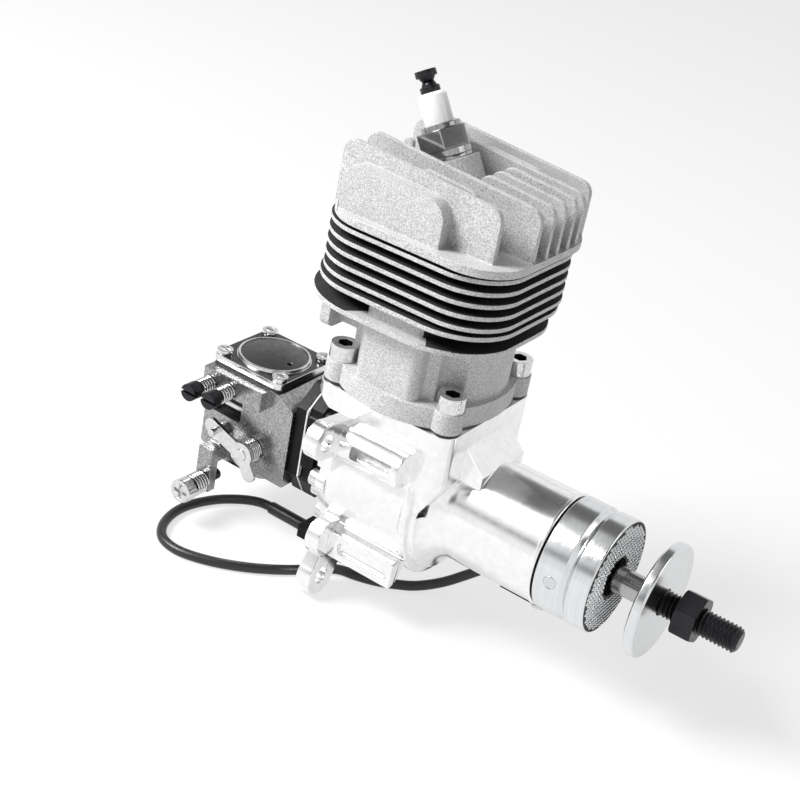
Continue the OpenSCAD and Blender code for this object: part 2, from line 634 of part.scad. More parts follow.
module throttle_plate() color([0.8, 0.7, 0.4]) intersection() {
    along_x(shaft_x - 0.4, shaft_x + 0.4, throat_r - 0.12, [0, throat_z]);
    block([shaft_x - 1, -throat_r, throat_z - throat_r], [shaft_x + 1, throat_r, throat_z + throat_r]);
}
module throttle_lever() color(steel) difference() {
    union() {
        plate_y(lever_y - 0.7, lever_y + 0.7) translate([shaft_x, throat_z]) {
            circle(r = 4.2);
            rotate(-19.3) {
                translate([-13.9, -2.6]) square([13.9, 5.2]);
                translate([-13.9, 0]) circle(r = 2.6);
            }
            rotate(-56) {
                translate([0, -2.4]) square([7, 4.8]);
                translate([7, 0]) circle(r = 2.4);
            }
        }
        // hooked stud for the throttle rod
        along_y(lever_y - 3.2, lever_y + 0.7, 1.2, [shaft_x - 11, throat_z + 3.9], 24);
    }
    along_y(lever_y - 2, lever_y + 2, shaft_r, [shaft_x, throat_z], 32);
}
module spring_y(y0, y1, r, wire, turns, at) for (i = [0 : turns - 1])
    translate([at[0], y0 + wire + i * (y1 - y0 - 2 * wire) / (turns - 1), at[1]])
        rotate([90, 0, 0]) rotate_extrude($fn = 32) translate([r, 0]) circle(r = wire, $fn = 10);
module throttle_spring() color(steel)
    spring_y(lever_y + 0.72, -17.02, 3.4, 0.36, 3, [shaft_x, throat_z]);
module choke_shaft() color(steel) difference() {
    along_y(-17.3, body_y + 4.4, 1.5, [choke_x, throat_z], 32);
    block([choke_x - 0.37, -throat_r - 1, throat_z - 3], [choke_x + 0.37, throat_r + 1, throat_z + 3]);
}
module choke_lever() color(steel) difference() {
    union() {
        plate_y(body_y + 2.4, body_y + 3.8) translate([choke_x, throat_z]) {
            circle(r = 3.4);
            rotate(-110) translate([0, -2]) square([11, 4]);
            rotate(-110) translate([11, 0]) circle(r = 2);
        }
        along_y(body_y + 0.3, body_y + 2.5, 2.6, [choke_x, throat_z], 32);
    }
    along_y(body_y, body_y + 5, 1.5, [choke_x, throat_z], 32);
}
module choke_plate() color(steel) along_x(choke_x - 0.35, choke_x + 0.35, throat_r + 0.9, [0, throat_z]);
module needle_screw(at) difference() {
    union() {
        along_y(-28.6, -24.6, 2.85, at, 32);
        along_y(-24.7, -11.5, 1.55, at, 24);
        translate([at[0], -11.6, at[1]]) rotate([-90, 0, 0]) cylinder(h = 2, r1 = 1.5, r2 = 0.4, $fn = 24);
    }
    block([at[0] - 4, -29.6, at[1] - 0.4], [at[0] + 4, -27.3, at[1] + 0.4]);
}
module high_needle() color(dark) needle_screw(needle[0]);
module low_needle() color(dark) needle_screw(needle[1]);
module needle_springs() color(steel) for (n = needle) spring_y(-24.58, side_y - 0.02, 2.1, 0.35, 5, n);
module idle_screw() color(steel) difference() {
    union() {
        along_y(-32.5, -28.6, 4, idle, 40);
        along_y(-28.7, -14.5, 1.9, idle, 24);
    }
    for (a = [0, 90]) translate([idle[0], -33, idle[1]]) rotate([0, a, 0])
        block([-2.6, 0, -0.5], [2.6, 1.9, 0.5]);
}
module idle_spring() color(steel) spring_y(-28.58, -22.02, 2.9, 0.5, 4, idle);

// Crankshaft and hub
module crankshaft() color(steel) difference() {
    union() {
        // web with its counterweight below
        intersection() {
            along_x(web_x0, web_x1, web_r);
            union() {
                block([web_x0, -30, -30], [web_x1, 30, -2]);
                plate_x(web_x0, web_x1) polygon([[-20, -3], [20, -3], [9.5, 14], [-9.5, 14]]);
                along_x(web_x0, web_x1, 8.6, [0, crank_r - 1]);
            }
        }
        along_x(web_x1 - 0.1, b1_x0, 9.4);
        along_x(web_x1 - 0.1, hub_x0, journal_r);
        along_x(hub_x0 - 0.1, hub_step_x + 0.1, hub_seat_r);
        along_x(hub_step_x, thread_x0, plain_r);
        along_x(thread_x0 - 0.1, shaft_tip_x - 0.7, thread_r);
        translate([shaft_tip_x - 0.8, 0, 0]) rotate([0, 90, 0])
            cylinder(h = 0.8, r1 = thread_r, r2 = thread_r - 0.7);
    }
    // keyway
    block([hub_x0 + 1.8, -1.5, hub_seat_r - 1.6], [hub_x0 + 9.8, 1.5, hub_seat_r + 2]);
}
module prop_hub() color(silver) difference() {
    turned_x() polygon([for (p = [[hub_x0, 0], [hub_x0, hub_r - 0.5], [hub_x0 + 0.5, hub_r],
        [hub_x0 + 8.4, hub_r], [hub_x0 + 8.8, hub_r - 0.6], [hub_x0 + 9.8, hub_r - 1.3],
        [hub_x0 + 10.8, hub_r - 0.6], [hub_x0 + 11.2, hub_r], [hub_x1 - 0.4, hub_r],
        [hub_x1, hub_r - 0.4], [hub_x1, 0]]) [p[1], p[0]]]);
    along_x(hub_x0 - 1, hub_step_x + 0.1, hub_seat_r);
    along_x(hub_step_x, hub_x1 + 1, 6.15);
    // keyway and the magnet pocket
    block([hub_x0 - 1, -1.5, 0], [hub_x0 + 9.8, 1.5, hub_seat_r + 1.5]);
    translate([magnet_x, 0, 0]) rotate([90, 0, 0]) along_z(hub_r - 3, hub_r + 1, 2, [0, 0], 32);
}
module hub_key() color(steel)
    block([hub_x0 + 1.8, -1.5, hub_seat_r - 1.6], [hub_x0 + 9.8, 1.5, hub_seat_r + 1.4]);
module hub_magnet() color(dark) translate([magnet_x, 0, 0]) rotate([90, 0, 0])
    intersection() {
        along_z(hub_r - 3, hub_r + 1, 2, [0, 0], 32);
        rotate([0, 90, 0]) translate([0, 0, -4]) cylinder(h = 8, r = hub_r, $fn = 96);
    }

// Rod and piston, drawn at the top of the stroke
module connecting_rod() color(steel) difference() {
    union() {
        along_x(rod_x0, rod_x1, big_r, [0, crank_r]);
        along_x(rod_x0, rod_x1, wrist_r + 2.6, [0, pin_tdc_z]);
        block([rod_x0, -4, crank_r + 6], [rod_x1, 4, pin_tdc_z - 5]);
    }
    along_x(rod_x0 - 1, rod_x1 + 1, crank_pin_r + 2, [0, crank_r]);
    along_x(rod_x0 - 1, rod_x1 + 1, wrist_r + run, [0, pin_tdc_z]);
    // shallow channels in both faces of the shank
    for (x = [rod_x0, rod_x1]) block([x - 2.4, -2.3, crank_r + 10.5], [x + 2.4, 2.3, pin_tdc_z - 9]);
}
module crank_pin() color(steel) difference() {
    along_x(rod_x0 - 0.8, web_x0 - gap, crank_pin_r, [0, crank_r]);
    along_x(rod_x0 - 2, rod_x0 + 3, 2, [0, crank_r], 24);
}
module big_end_bearing() color(steel) difference() {
    along_x(rod_x0, rod_x1, crank_pin_r + 2, [0, crank_r]);
    along_x(rod_x0 - 1, rod_x1 + 1, crank_pin_r + 0.02, [0, crank_r]);
}
module piston() color(silver) difference() {
    along_z(pin_tdc_z - skirt_h, crown_z, bore_r - 0.05, [cyl_x, 0], 96);
    // hollow inside with two bosses for the wrist pin
    difference() {
        along_z(pin_tdc_z - skirt_h - 1, crown_z - 3.6, bore_r - 2.3, [cyl_x, 0]);
        for (i = [-1, 1]) intersection() {
            translate([cyl_x + i * 12, 0, 0]) block([-7, -6.5, pin_tdc_z - 6.2], [7, 6.5, crown_z]);
            difference() {
                block([-10, -20, 0], [40, 20, 99]);
                block([rod_x0 - gap, -20, 0], [rod_x1 + gap, 20, 99]);
            }
        }
    }
    along_x(cyl_x - 20, cyl_x + 20, wrist_r, [0, pin_tdc_z]);
    for (i = [-1, 1]) along_x(cyl_x + i * 13.6 - 0.5, cyl_x + i * 13.6 + 0.5, wrist_r + 0.5, [0, pin_tdc_z]);
    for (z = [3, 6.2]) difference() {
        along_z(crown_z - z - 1.2, crown_z - z, 20, [cyl_x, 0]);
        along_z(crown_z - z - 2, crown_z - z + 1, bore_r - 1.9, [cyl_x, 0]);
    }
}
module piston_rings() color(dark) for (z = [3, 6.2]) difference() {
    along_z(crown_z - z - 1.17, crown_z - z - 0.03, bore_r - 0.02, [cyl_x, 0], 96);
    along_z(crown_z - z - 2, crown_z - z + 1, bore_r - 1.8, [cyl_x, 0]);
    block([cyl_x - 20, -0.2, crown_z - z - 2], [cyl_x - 10, 0.2, crown_z - z + 1]);
}
module wrist_pin() color(steel) difference() {
    along_x(cyl_x - 13, cyl_x + 13, wrist_r, [0, pin_tdc_z]);
    along_x(cyl_x - 14, cyl_x + 14, wrist_r - 1.6, [0, pin_tdc_z]);
}
module circlips() color(steel) for (i = [-1, 1]) difference() {
    along_x(cyl_x + i * 13.6 - 0.48, cyl_x + i * 13.6 + 0.48, wrist_r + 0.45, [0, pin_tdc_z], 40);
    along_x(cyl_x + i * 13.6 - 1, cyl_x + i * 13.6 + 1, wrist_r - 0.8, [0, pin_tdc_z], 40);
    block([-10, -1.2, pin_tdc_z - 6], [40, 1.2, pin_tdc_z]);
}

// Propeller washer and nut
module prop_washer() color(steel) difference() {
    turned_x() polygon([for (p = [[washer_x, 0], [washer_x, hub_r - 0.7], [washer_x + 0.6, hub_r - 0.1],
        [washer_x + washer_t - 0.5, hub_r - 0.1], [washer_x + washer_t, hub_r - 0.6],
        [washer_x + washer_t, 0]]) [p[1], p[0]]]);
    along_x(washer_x - 1, washer_x + washer_t + 1, plain_r + 0.1);
}
module prop_nut() color(black) difference() {
    intersection() {
        along_x(nut_x, nut_x + nut_h, nut_af / 2 / cos(30), [0, 0], 6);
        turned_x() polygon([for (p = [[nut_x, 0], [nut_x, 6.9], [nut_x + 0.7, 7.7],
            [nut_x + nut_h - 0.7, 7.7], [nut_x + nut_h, 6.9], [nut_x + nut_h, 0]]) [p[1], p[0]]]);
    }
    along_x(nut_x - 1, nut_x + nut_h + 1, thread_r + run);
}

// Speed sensor and its lead
lead_r = lead_d / 2;
lead_z = floor_z + 2.1;
route = [[51.6, 8, -22.4], [47.5, 8, -22.4], [43, 7.8, -24.2], [38, 6.5, -28.6], [31.5, 3, -33.6],
    [25, -2, -36.2], [19, -6.5, -36.6], [14, -9.6, -36.6], [8.5, -11.8, -36.6], [3, -13.4, -36.6], [-1.4, -17.5, -36.6],
    [-6.2, -24.2, -36.6], [-12.2, -30.6, -36.6], [-18.4, -35.8, -36.6], [-25.3, -40.2, -36.6],
    [-33, -43.5, -36.6], [-39.3, -44.5, -36.6], [-45.3, -42.9, -36.6], [-49.9, -37.9, -36.6],
    [-52.5, -30.2, -36.6], [-52.3, -22, -36.6], [-48.9, -13.1, -36.6], [-43.7, -6.8, -36.5],
    [-39, -4, -36.15], [-35.5, -3.05, -36.1], [-32, -3, -36.1], [-26, -3, -36.1], [-19, -3, -36.1], [-12, -3, -36.1]];
// smooth curve through the chosen points
function spline(p, i, t) = let (n = len(p) - 1, a = p[max(i - 1, 0)], b = p[i], c = p[i + 1],
    d = p[min(i + 2, n)]) 0.5 * (2 * b + (c - a) * t + (2 * a - 5 * b + 4 * c - d) * t * t
    + (3 * b - a - 3 * c + d) * t * t * t);
function unit(v) = v / norm(v);
module tube(p, r, n = 8) {
    pts = concat([for (i = [0 : len(p) - 2], t = [0, 0.5]) spline(p, i, t)], [p[len(p) - 1]]);
    m = len(pts);
    dirs = [for (i = [0 : m - 1]) unit(pts[min(i + 1, m - 1)] - pts[max(i - 1, 0)])];
    rings = [for (i = [0 : m - 1]) let (s = unit(cross(dirs[i], [0, 0, 1])), u = cross(s, dirs[i]))
        for (k = [0 : n - 1]) pts[i] + r * (s * cos((k + 0.5) * 360 / n) + u * sin((k + 0.5) * 360 / n))];
    sides = [for (i = [0 : m - 2], k = [0 : n - 1]) [i * n + k, i * n + (k + 1) % n,
        (i + 1) * n + (k + 1) % n, (i + 1) * n + k]];
    polyhedron(rings, concat(sides, [[for (k = [n - 1 : -1 : 0]) k]],
        [[for (k = [0 : n - 1]) (m - 1) * n + k]]));
}
module sensor_cable() color(black) tube(route, lead_r);
module sensor_sleeve() color(black) difference() {
    along_x(-33.5, -19.5, 2.1, [-3, lead_z], 32);
    along_x(-34, -19, lead_r + 0.1, [-3, lead_z], 32);
}
module sensor_plug() color(black) difference() {
    block([-19.3, -7, floor_z], [-5, 1, floor_z + 4.6]);
    along_x(-20, -11.8, lead_r + 0.1, [-3, lead_z], 32);
    for (y = [-5.54, -3, -0.46]) block([-9, y - 0.5, lead_z - 0.5], [-4, y + 0.5, lead_z + 0.5]);
}
module sensor_body() color(black) difference() {
    union() {
        block([50.5, 3.5, -nose_r - 7.4], [66, 12.5, -nose_r - 1.2]);
        along_z(-nose_r - 1.5, -nose_r - 1.2, 3, [63, 8], 32);
    }
    along_z(-nose_r - 9, -nose_r, 1.6, [63, 8], 24);
    translate([49, 8, -22.4]) along_x(0, 3, lead_r + 0.15, [0, 0], 32);
}
module sensor_screw() color(steel) difference() {
    union() {
        along_z(-nose_r - 9.6, -nose_r - 7.4, 2.75, [63, 8], 32);
        along_z(-nose_r - 7.5, -15.3, 1.2, [63, 8], 20);
    }
    along_z(-nose_r - 11, -nose_r - 8.6, 1.25 / cos(30), [63, 8], 6);
}

crankcase();
rear_cover();
rear_cover_screws();
bearing_outer_rings();
bearing_inner_rings();
bearing_balls();
shaft_seal();
finned_cylinder();
base_gasket();
base_screws();
plug_shell();
plug_insulator();
plug_terminal();
plug_washer();
reed_block();
reed_petals();
manifold_gasket();
intake_manifold();
manifold_screws();
carb_gasket();
carb_spacer();
carb_body();
carb_screws();
carb_diaphragms();
metering_cover();
cover_dome();
cover_screws();
pump_cover();
fuel_nipple();
throttle_shaft();
throttle_plate();
throttle_lever();
throttle_spring();
choke_shaft();
choke_lever();
choke_plate();
high_needle();
low_needle();
needle_springs();
idle_screw();
idle_spring();
crankshaft();
prop_hub();
hub_key();
hub_magnet();
connecting_rod();
crank_pin();
big_end_bearing();
piston();
piston_rings();
wrist_pin();
circlips();
prop_washer();
prop_nut();
sensor_body();
sensor_screw();
sensor_cable();
sensor_sleeve();
sensor_plug();
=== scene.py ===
import json
import logging
import math
from dataclasses import dataclass
from enum import Enum
from typing import Callable, Sequence

import bpy
from mathutils import Matrix, Vector


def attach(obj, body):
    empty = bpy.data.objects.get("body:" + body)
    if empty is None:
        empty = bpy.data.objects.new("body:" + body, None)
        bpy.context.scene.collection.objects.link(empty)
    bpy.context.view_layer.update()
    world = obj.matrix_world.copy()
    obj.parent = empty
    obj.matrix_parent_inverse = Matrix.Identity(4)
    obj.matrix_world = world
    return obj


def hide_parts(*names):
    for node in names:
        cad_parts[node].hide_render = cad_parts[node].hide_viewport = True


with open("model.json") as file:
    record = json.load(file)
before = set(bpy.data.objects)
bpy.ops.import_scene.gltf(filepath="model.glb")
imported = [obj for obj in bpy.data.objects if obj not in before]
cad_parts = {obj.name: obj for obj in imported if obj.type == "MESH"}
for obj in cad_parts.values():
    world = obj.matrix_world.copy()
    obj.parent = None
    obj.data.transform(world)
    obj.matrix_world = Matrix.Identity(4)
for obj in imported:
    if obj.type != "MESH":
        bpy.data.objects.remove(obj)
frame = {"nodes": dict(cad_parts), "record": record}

Point = tuple[float, float, float]
Colour = tuple[float, float, float]

MM = 0.001
MERGE_DISTANCE = 1e-7
FLAT_ANGLE = math.radians(0.3)
CREASE = 30.0
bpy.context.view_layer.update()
RECORD = frame["record"]
BODY_OF = {n: body for body, nodes in RECORD["behaviour"]["bodies"].items() for n in nodes}
log = logging.getLogger("engine")


# Modelling
def only(*objects: bpy.types.Object) -> None:
    """Selects these objects and nothing else; the first becomes the active one."""
    bpy.ops.object.select_all(action="DESELECT")
    for each in objects:
        each.select_set(True)
    bpy.context.view_layer.objects.active = objects[0]


def only_nothing() -> None:
    """Deselects everything before a primitive is added."""
    bpy.ops.object.select_all(action="DESELECT")


def named(name: str) -> bpy.types.Object:
    """Gives the primitive that was just added its name and returns it."""
    made = bpy.context.active_object
    made.name = name
    made.data.name = name
    return made


def linked(name: str, data: bpy.types.ID) -> bpy.types.Object:
    """Makes an object of this data in the scene."""
    made = bpy.data.objects.new(name, data)
    bpy.context.scene.collection.objects.link(made)
    return made


def finish_modifier(piece: bpy.types.Object, kind: str, **settings: object) -> None:
    """Adds a modifier with these settings and applies it.

    Args:
        piece: The mesh to change.
        kind: Blender's name of the modifier.
        settings: The modifier's own values.
    """
    only(piece)
    modifier = piece.modifiers.new(kind.title(), kind)
    for key, value in settings.items():
        setattr(modifier, key, value)
    bpy.ops.object.modifier_apply(modifier=modifier.name)


def place(piece: bpy.types.Object, matrix: Matrix) -> None:
    """Moves a piece and writes its place into its mesh."""
    piece.matrix_world = matrix
    only(piece)
    bpy.ops.object.transform_apply(location=True, rotation=True, scale=True)


def smooth(piece: bpy.types.Object, degrees: float = CREASE) -> None:
    """Shades a piece smooth up to this angle between faces."""
    only(piece)
    bpy.ops.object.shade_smooth_by_angle(angle=math.radians(degrees))


def close_up(piece: bpy.types.Object) -> None:
    """Merges doubles, closes open ends and turns every face outwards."""
    only(piece)
    bpy.ops.object.mode_set(mode="EDIT")
    bpy.ops.mesh.select_all(action="SELECT")
    bpy.ops.mesh.remove_doubles(threshold=MERGE_DISTANCE)
    bpy.ops.mesh.fill_holes(sides=0)
    bpy.ops.mesh.select_all(action="SELECT")
    bpy.ops.mesh.normals_make_consistent(inside=False)
    bpy.ops.object.mode_set(mode="OBJECT")


def widen_selection(piece: bpy.types.Object) -> None:
    """Selects each edge and face whose corners are all selected, and opens edit mode on them."""
    mesh = piece.data
    only(piece)
    for part in (*mesh.edges, *mesh.polygons):
        part.select = all(mesh.vertices[i].select for i in part.vertices)
    bpy.ops.object.mode_set(mode="EDIT")
    bpy.ops.mesh.select_mode(type="VERT")


def adopt(piece: bpy.types.Object, node: str) -> bpy.types.Object:
    """Makes a piece stand for a CAD node on that node's body, and hides the node."""
    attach(piece, BODY_OF[node])
    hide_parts(node)
    return piece


def dress(piece: bpy.types.Object, material: bpy.types.Material) -> None:
    """Gives the whole piece one material."""
    piece.data.materials.clear()
    piece.data.materials.append(material)


def softened(node: str, material: bpy.types.Material, edge: float = 0.2, segments: int = 2,
             merge: bool = True, shape: Callable[[bpy.types.Object], None] | None = None
             ) -> bpy.types.Object:
    """Copies a CAD node, rounds its sharp edges and lets the copy stand for the node.

    Args:
        node: The CAD node.
        material: The finish of the copy.
        edge: Width of the edge rounding in millimetres.
        segments: Faces across the rounding.
        merge: Whether flat triangles are first joined into larger faces.
        shape: Cuts the copy to its finer form before the edges are rounded.

    Returns:
        The new piece.
    """
    piece = linked(f"{node}_shown", frame["nodes"][node].data.copy())
    only(piece)
    bpy.ops.mesh.customdata_custom_splitnormals_clear()
    bpy.ops.object.mode_set(mode="EDIT")
    bpy.ops.mesh.select_all(action="SELECT")
    bpy.ops.mesh.remove_doubles(threshold=MERGE_DISTANCE)
    if merge:
        bpy.ops.mesh.dissolve_limited(angle_limit=FLAT_ANGLE)
    bpy.ops.object.mode_set(mode="OBJECT")
    if shape:
        shape(piece)
    finish_modifier(piece, "BEVEL", width=edge * MM, segments=segments, limit_method="ANGLE",
                    angle_limit=math.radians(CREASE), use_clamp_overlap=False)
    smooth(piece)
    finish_modifier(piece, "WEIGHTED_NORMAL", keep_sharp=True, weight=90)
    dress(piece, material)
    return adopt(piece, node)


def paint(piece: bpy.types.Object, material: bpy.types.Material,
          chosen: Callable[[Vector, Vector], bool]) -> None:
    """Gives some faces of a piece a second material.

    Args:
        piece: The piece.
        material: The second material.
        chosen: Says from a face's centre in millimetres and its normal whether it gets it.
    """
    piece.data.materials.append(material)
    index = len(piece.data.materials) - 1
    for face in piece.data.polygons:
        if chosen(face.center / MM, face.normal):
            face.material_index = index


def along_crank(piece: bpy.types.Object, start: float) -> None:
    """Turns a piece's Z axis forward along the crank axis and moves it to this X."""
    turn = Matrix.Rotation(math.pi / 2, 4, "Y")
    place(piece, Matrix.Translation(Vector((start, 0, 0)) * MM) @ turn)


def box(name: str, low: Point, high: Point, rounding: float = 0.0) -> bpy.types.Object:
    """Makes a box between two corners in millimetres, with rounded edges where asked."""
    only_nothing()
    bpy.ops.mesh.primitive_cube_add(size=1.0)
    made = named(name)
    size = [(b - a) * MM for a, b in zip(low, high)]
    middle = [(b + a) / 2 * MM for a, b in zip(low, high)]
    place(made, Matrix.Translation(middle) @ Matrix.Diagonal((*size, 1.0)))
    if rounding:
        finish_modifier(made, "BEVEL", width=rounding * MM, segments=3)
    return made


def rod(name: str, start: Point, end: Point, radius: float, sides: int = 48) -> bpy.types.Object:
    """Makes a round bar between two points in millimetres."""
    a, b = Vector(start) * MM, Vector(end) * MM
    only_nothing()
    bpy.ops.mesh.primitive_cylinder_add(vertices=sides, radius=radius * MM, depth=(b - a).length)
    made = named(name)
    turn = (b - a).to_track_quat("Z", "Y").to_matrix().to_4x4()
    place(made, Matrix.Translation((a + b) / 2) @ turn)
    return made


def cut(piece: bpy.types.Object, tool: bpy.types.Object,
        spare: bpy.types.Object | None = None) -> None:
    """Cuts one piece out of another and removes the tool.

    Args:
        piece: The piece that is cut.
        tool: What is taken away.
        spare: A part of the tool's space that stays.
    """
    if spare:
        finish_modifier(tool, "BOOLEAN", object=spare, operation="DIFFERENCE", solver="EXACT")
        bpy.data.objects.remove(spare)
    finish_modifier(piece, "BOOLEAN", object=tool, operation="DIFFERENCE", solver="EXACT")
    bpy.data.objects.remove(tool)


def stack(name: str, levels: Sequence[tuple[float, float, float, float]], edge: float,
          sides: int = 48) -> bpy.types.Object:
    """Stacks round discs and cones up the Z axis and rounds their edges.

    Args:
        name: Name of the piece.
        levels: Bottom, top, lower radius and upper radius of each disc, in millimetres.
        edge: Width of the edge rounding.
        sides: Corners of the circles.

    Returns:
        The stacked piece.
    """
    discs = []
    for bottom, top, low_r, high_r in levels:
        only_nothing()
        bpy.ops.mesh.primitive_cone_add(
            vertices=sides, radius1=low_r * MM, radius2=high_r * MM, depth=(top - bottom) * MM,
            location=(0, 0, (top + bottom) / 2 * MM))
        disc = named(f"{name}_{len(discs)}")
        place(disc, disc.matrix_world.copy())
        finish_modifier(disc, "BEVEL", width=edge * MM, segments=2, limit_method="ANGLE",
                        angle_limit=math.radians(40.0))
        discs.append(disc)
    only(*discs)
    bpy.ops.object.join()
    discs[0].name = name
    smooth(discs[0], 35)
    return discs[0]


def coil(name: str, radius: float, wire: float, pitch: float, turns: float,
         sides: int = 8, steps: int = 24) -> bpy.types.Object:
    """Winds a helix up the Z axis from the origin, with closed ends.

    Args:
        name: Name of the piece.
        radius: Radius of the wire's middle, in millimetres.
        wire: Radius of the wire.
        pitch: Rise per turn.
        turns: Number of turns.
        sides: Corners of the wire's section.
        steps: Steps in one turn.

    Returns:
        The wound piece.
    """
    only_nothing()
    bpy.ops.mesh.primitive_circle_add(vertices=sides, radius=wire * MM, fill_type="NOTHING",
                                      location=(radius * MM, 0, 0),
                                      rotation=(math.pi / 2, 0, 0))
    piece = named(name)
    bpy.ops.object.transform_apply(location=True, rotation=True, scale=True)
    finish_modifier(piece, "SCREW", axis="Z", angle=2 * math.pi * turns,
                    screw_offset=pitch * turns * MM, iterations=1,
                    steps=int(steps * turns), render_steps=int(steps * turns),
                    use_smooth_shade=True, use_merge_vertices=False)
    close_up(piece)
    return piece


# Finishes
class Pattern(Enum):
    """How a surface was made, which decides its grain."""

    CAST = "cast"
    TURNED = "turned"
    PLAIN = "plain"


BROAD_SHARE = {Pattern.CAST: 0.08, Pattern.TURNED: 0.2, Pattern.PLAIN: 0.6}
REACH = {Pattern.CAST: 0.14, Pattern.TURNED: 0.25, Pattern.PLAIN: 0.25}


def reckon(tree: bpy.types.NodeTree, operation: str,
           *values: bpy.types.NodeSocket | float) -> bpy.types.NodeSocket:
    """Adds a math node.

    Args:
        tree: The tree that gets the node.
        operation: Blender's name of the operation.
        values: A socket or a number for each input.

    Returns:
        The result's socket.
    """
    node = tree.nodes.new("ShaderNodeMath")
    node.operation = operation
    for socket, value in zip(node.inputs, values):
        if isinstance(value, bpy.types.NodeSocket):
            tree.links.new(value, socket)
        else:
            socket.default_value = value
    return node.outputs[0]


def graded(tree: bpy.types.NodeTree, value: bpy.types.NodeSocket, source: tuple[float, float],
           target: tuple[float, float] = (0.0, 1.0), soft: bool = False) -> bpy.types.NodeSocket:
    """Adds a node that maps one range of values to another.

    Args:
        tree: The tree that gets the node.
        value: The socket to map.
        source: Range of the value.
        target: Range of the result.
        soft: Whether the result starts and ends gently.

    Returns:
        The result's socket.
    """
    node = tree.nodes.new("ShaderNodeMapRange")
    if soft:
        node.interpolation_type = "SMOOTHSTEP"
    for label, number in zip(("From Min", "From Max", "To Min", "To Max"), (*source, *target)):
        node.inputs[label].default_value = number
    tree.links.new(value, node.inputs["Value"])
    return node.outputs[0]


def _group(name: str, inputs: Sequence[tuple[str, str]],
           outputs: Sequence[tuple[str, str]]) -> bpy.types.NodeTree:
    """Makes an empty node group with these sockets."""
    tree = bpy.data.node_groups.new(name, "ShaderNodeTree")
    for label, kind in inputs:
        tree.interface.new_socket(label, in_out="INPUT", socket_type=kind)
    for label, kind in outputs:
        tree.interface.new_socket(label, in_out="OUTPUT", socket_type=kind)
    return tree


@dataclass(frozen=True)
class GrainGroup:
    """The node group that every finish shares: colour, roughness and height from noise."""

    pattern: Pattern
    fine_detail: float = 4.0
    fine_roughness: float = 0.65
    broad_detail: float = 2.0
    broad_scale: float = 0.07

    def tree(self) -> bpy.types.NodeTree:
        """Returns the group for this pattern, made once."""
        name = f"grain_{self.pattern.value}"
        if name in bpy.data.node_groups:
            return bpy.data.node_groups[name]
        tree = _group(
            name,
            [("Vector", "NodeSocketVector"), ("Scale", "NodeSocketFloat"),
             ("Light Colour", "NodeSocketColor"), ("Dark Colour", "NodeSocketColor"),
             ("Low Roughness", "NodeSocketFloat"), ("High Roughness", "NodeSocketFloat")],
            [("Colour", "NodeSocketColor"), ("Roughness", "NodeSocketFloat"),
             ("Height", "NodeSocketFloat")])
        nodes, links = tree.nodes, tree.links
        inside = nodes.new("NodeGroupInput")
        outside = nodes.new("NodeGroupOutput")
        fine = nodes.new("ShaderNodeTexNoise")
        fine.inputs["Detail"].default_value = self.fine_detail
        fine.inputs["Roughness"].default_value = self.fine_roughness
        broad = nodes.new("ShaderNodeTexNoise")
        broad.inputs["Detail"].default_value = self.broad_detail
        scale = inside.outputs["Scale"]
        links.new(scale, fine.inputs["Scale"])
        links.new(reckon(tree, "MULTIPLY", scale, self.broad_scale), broad.inputs["Scale"])
        links.new(inside.outputs["Vector"], broad.inputs["Vector"])
        vector = inside.outputs["Vector"]
        if self.pattern is Pattern.TURNED:
            vector = self._rings(tree, vector)
        links.new(vector, fine.inputs["Vector"])
        share, reach = BROAD_SHARE[self.pattern], REACH[self.pattern]
        calmer = reckon(tree, "MULTIPLY_ADD", broad.outputs["Fac"], share, 0.5 * (1.0 - share))
        both = reckon(tree, "ADD", fine.outputs["Fac"], calmer)
        spread = graded(tree, both, (1.0 - reach, 1.0 + reach))
        colour = nodes.new("ShaderNodeMix")
        colour.data_type = "RGBA"
        links.new(spread, colour.inputs["Factor"])
        links.new(inside.outputs["Light Colour"], colour.inputs[6])
        links.new(inside.outputs["Dark Colour"], colour.inputs[7])
        rough = nodes.new("ShaderNodeMix")
        links.new(spread, rough.inputs["Factor"])
        links.new(inside.outputs["Low Roughness"], rough.inputs[2])
        links.new(inside.outputs["High Roughness"], rough.inputs[3])
        links.new(colour.outputs[2], outside.inputs["Colour"])
        links.new(rough.outputs[0], outside.inputs["Roughness"])
        links.new(fine.outputs["Fac"], outside.inputs["Height"])
        return tree

    @staticmethod
    def _rings(tree: bpy.types.NodeTree, vector: bpy.types.NodeSocket) -> bpy.types.NodeSocket:
        """Turns a place into one that changes only along and away from the crank axis."""
        nodes, links = tree.nodes, tree.links
        split = nodes.new("ShaderNodeSeparateXYZ")
        links.new(vector, split.inputs[0])
        flat = nodes.new("ShaderNodeCombineXYZ")
        links.new(split.outputs[1], flat.inputs[1])
        links.new(split.outputs[2], flat.inputs[2])
        away = nodes.new("ShaderNodeVectorMath")
        away.operation = "LENGTH"
        links.new(flat.outputs[0], away.inputs[0])
        joined = nodes.new("ShaderNodeCombineXYZ")
        links.new(split.outputs[0], joined.inputs[0])
        links.new(away.outputs["Value"], joined.inputs[1])
        return joined.outputs[0]


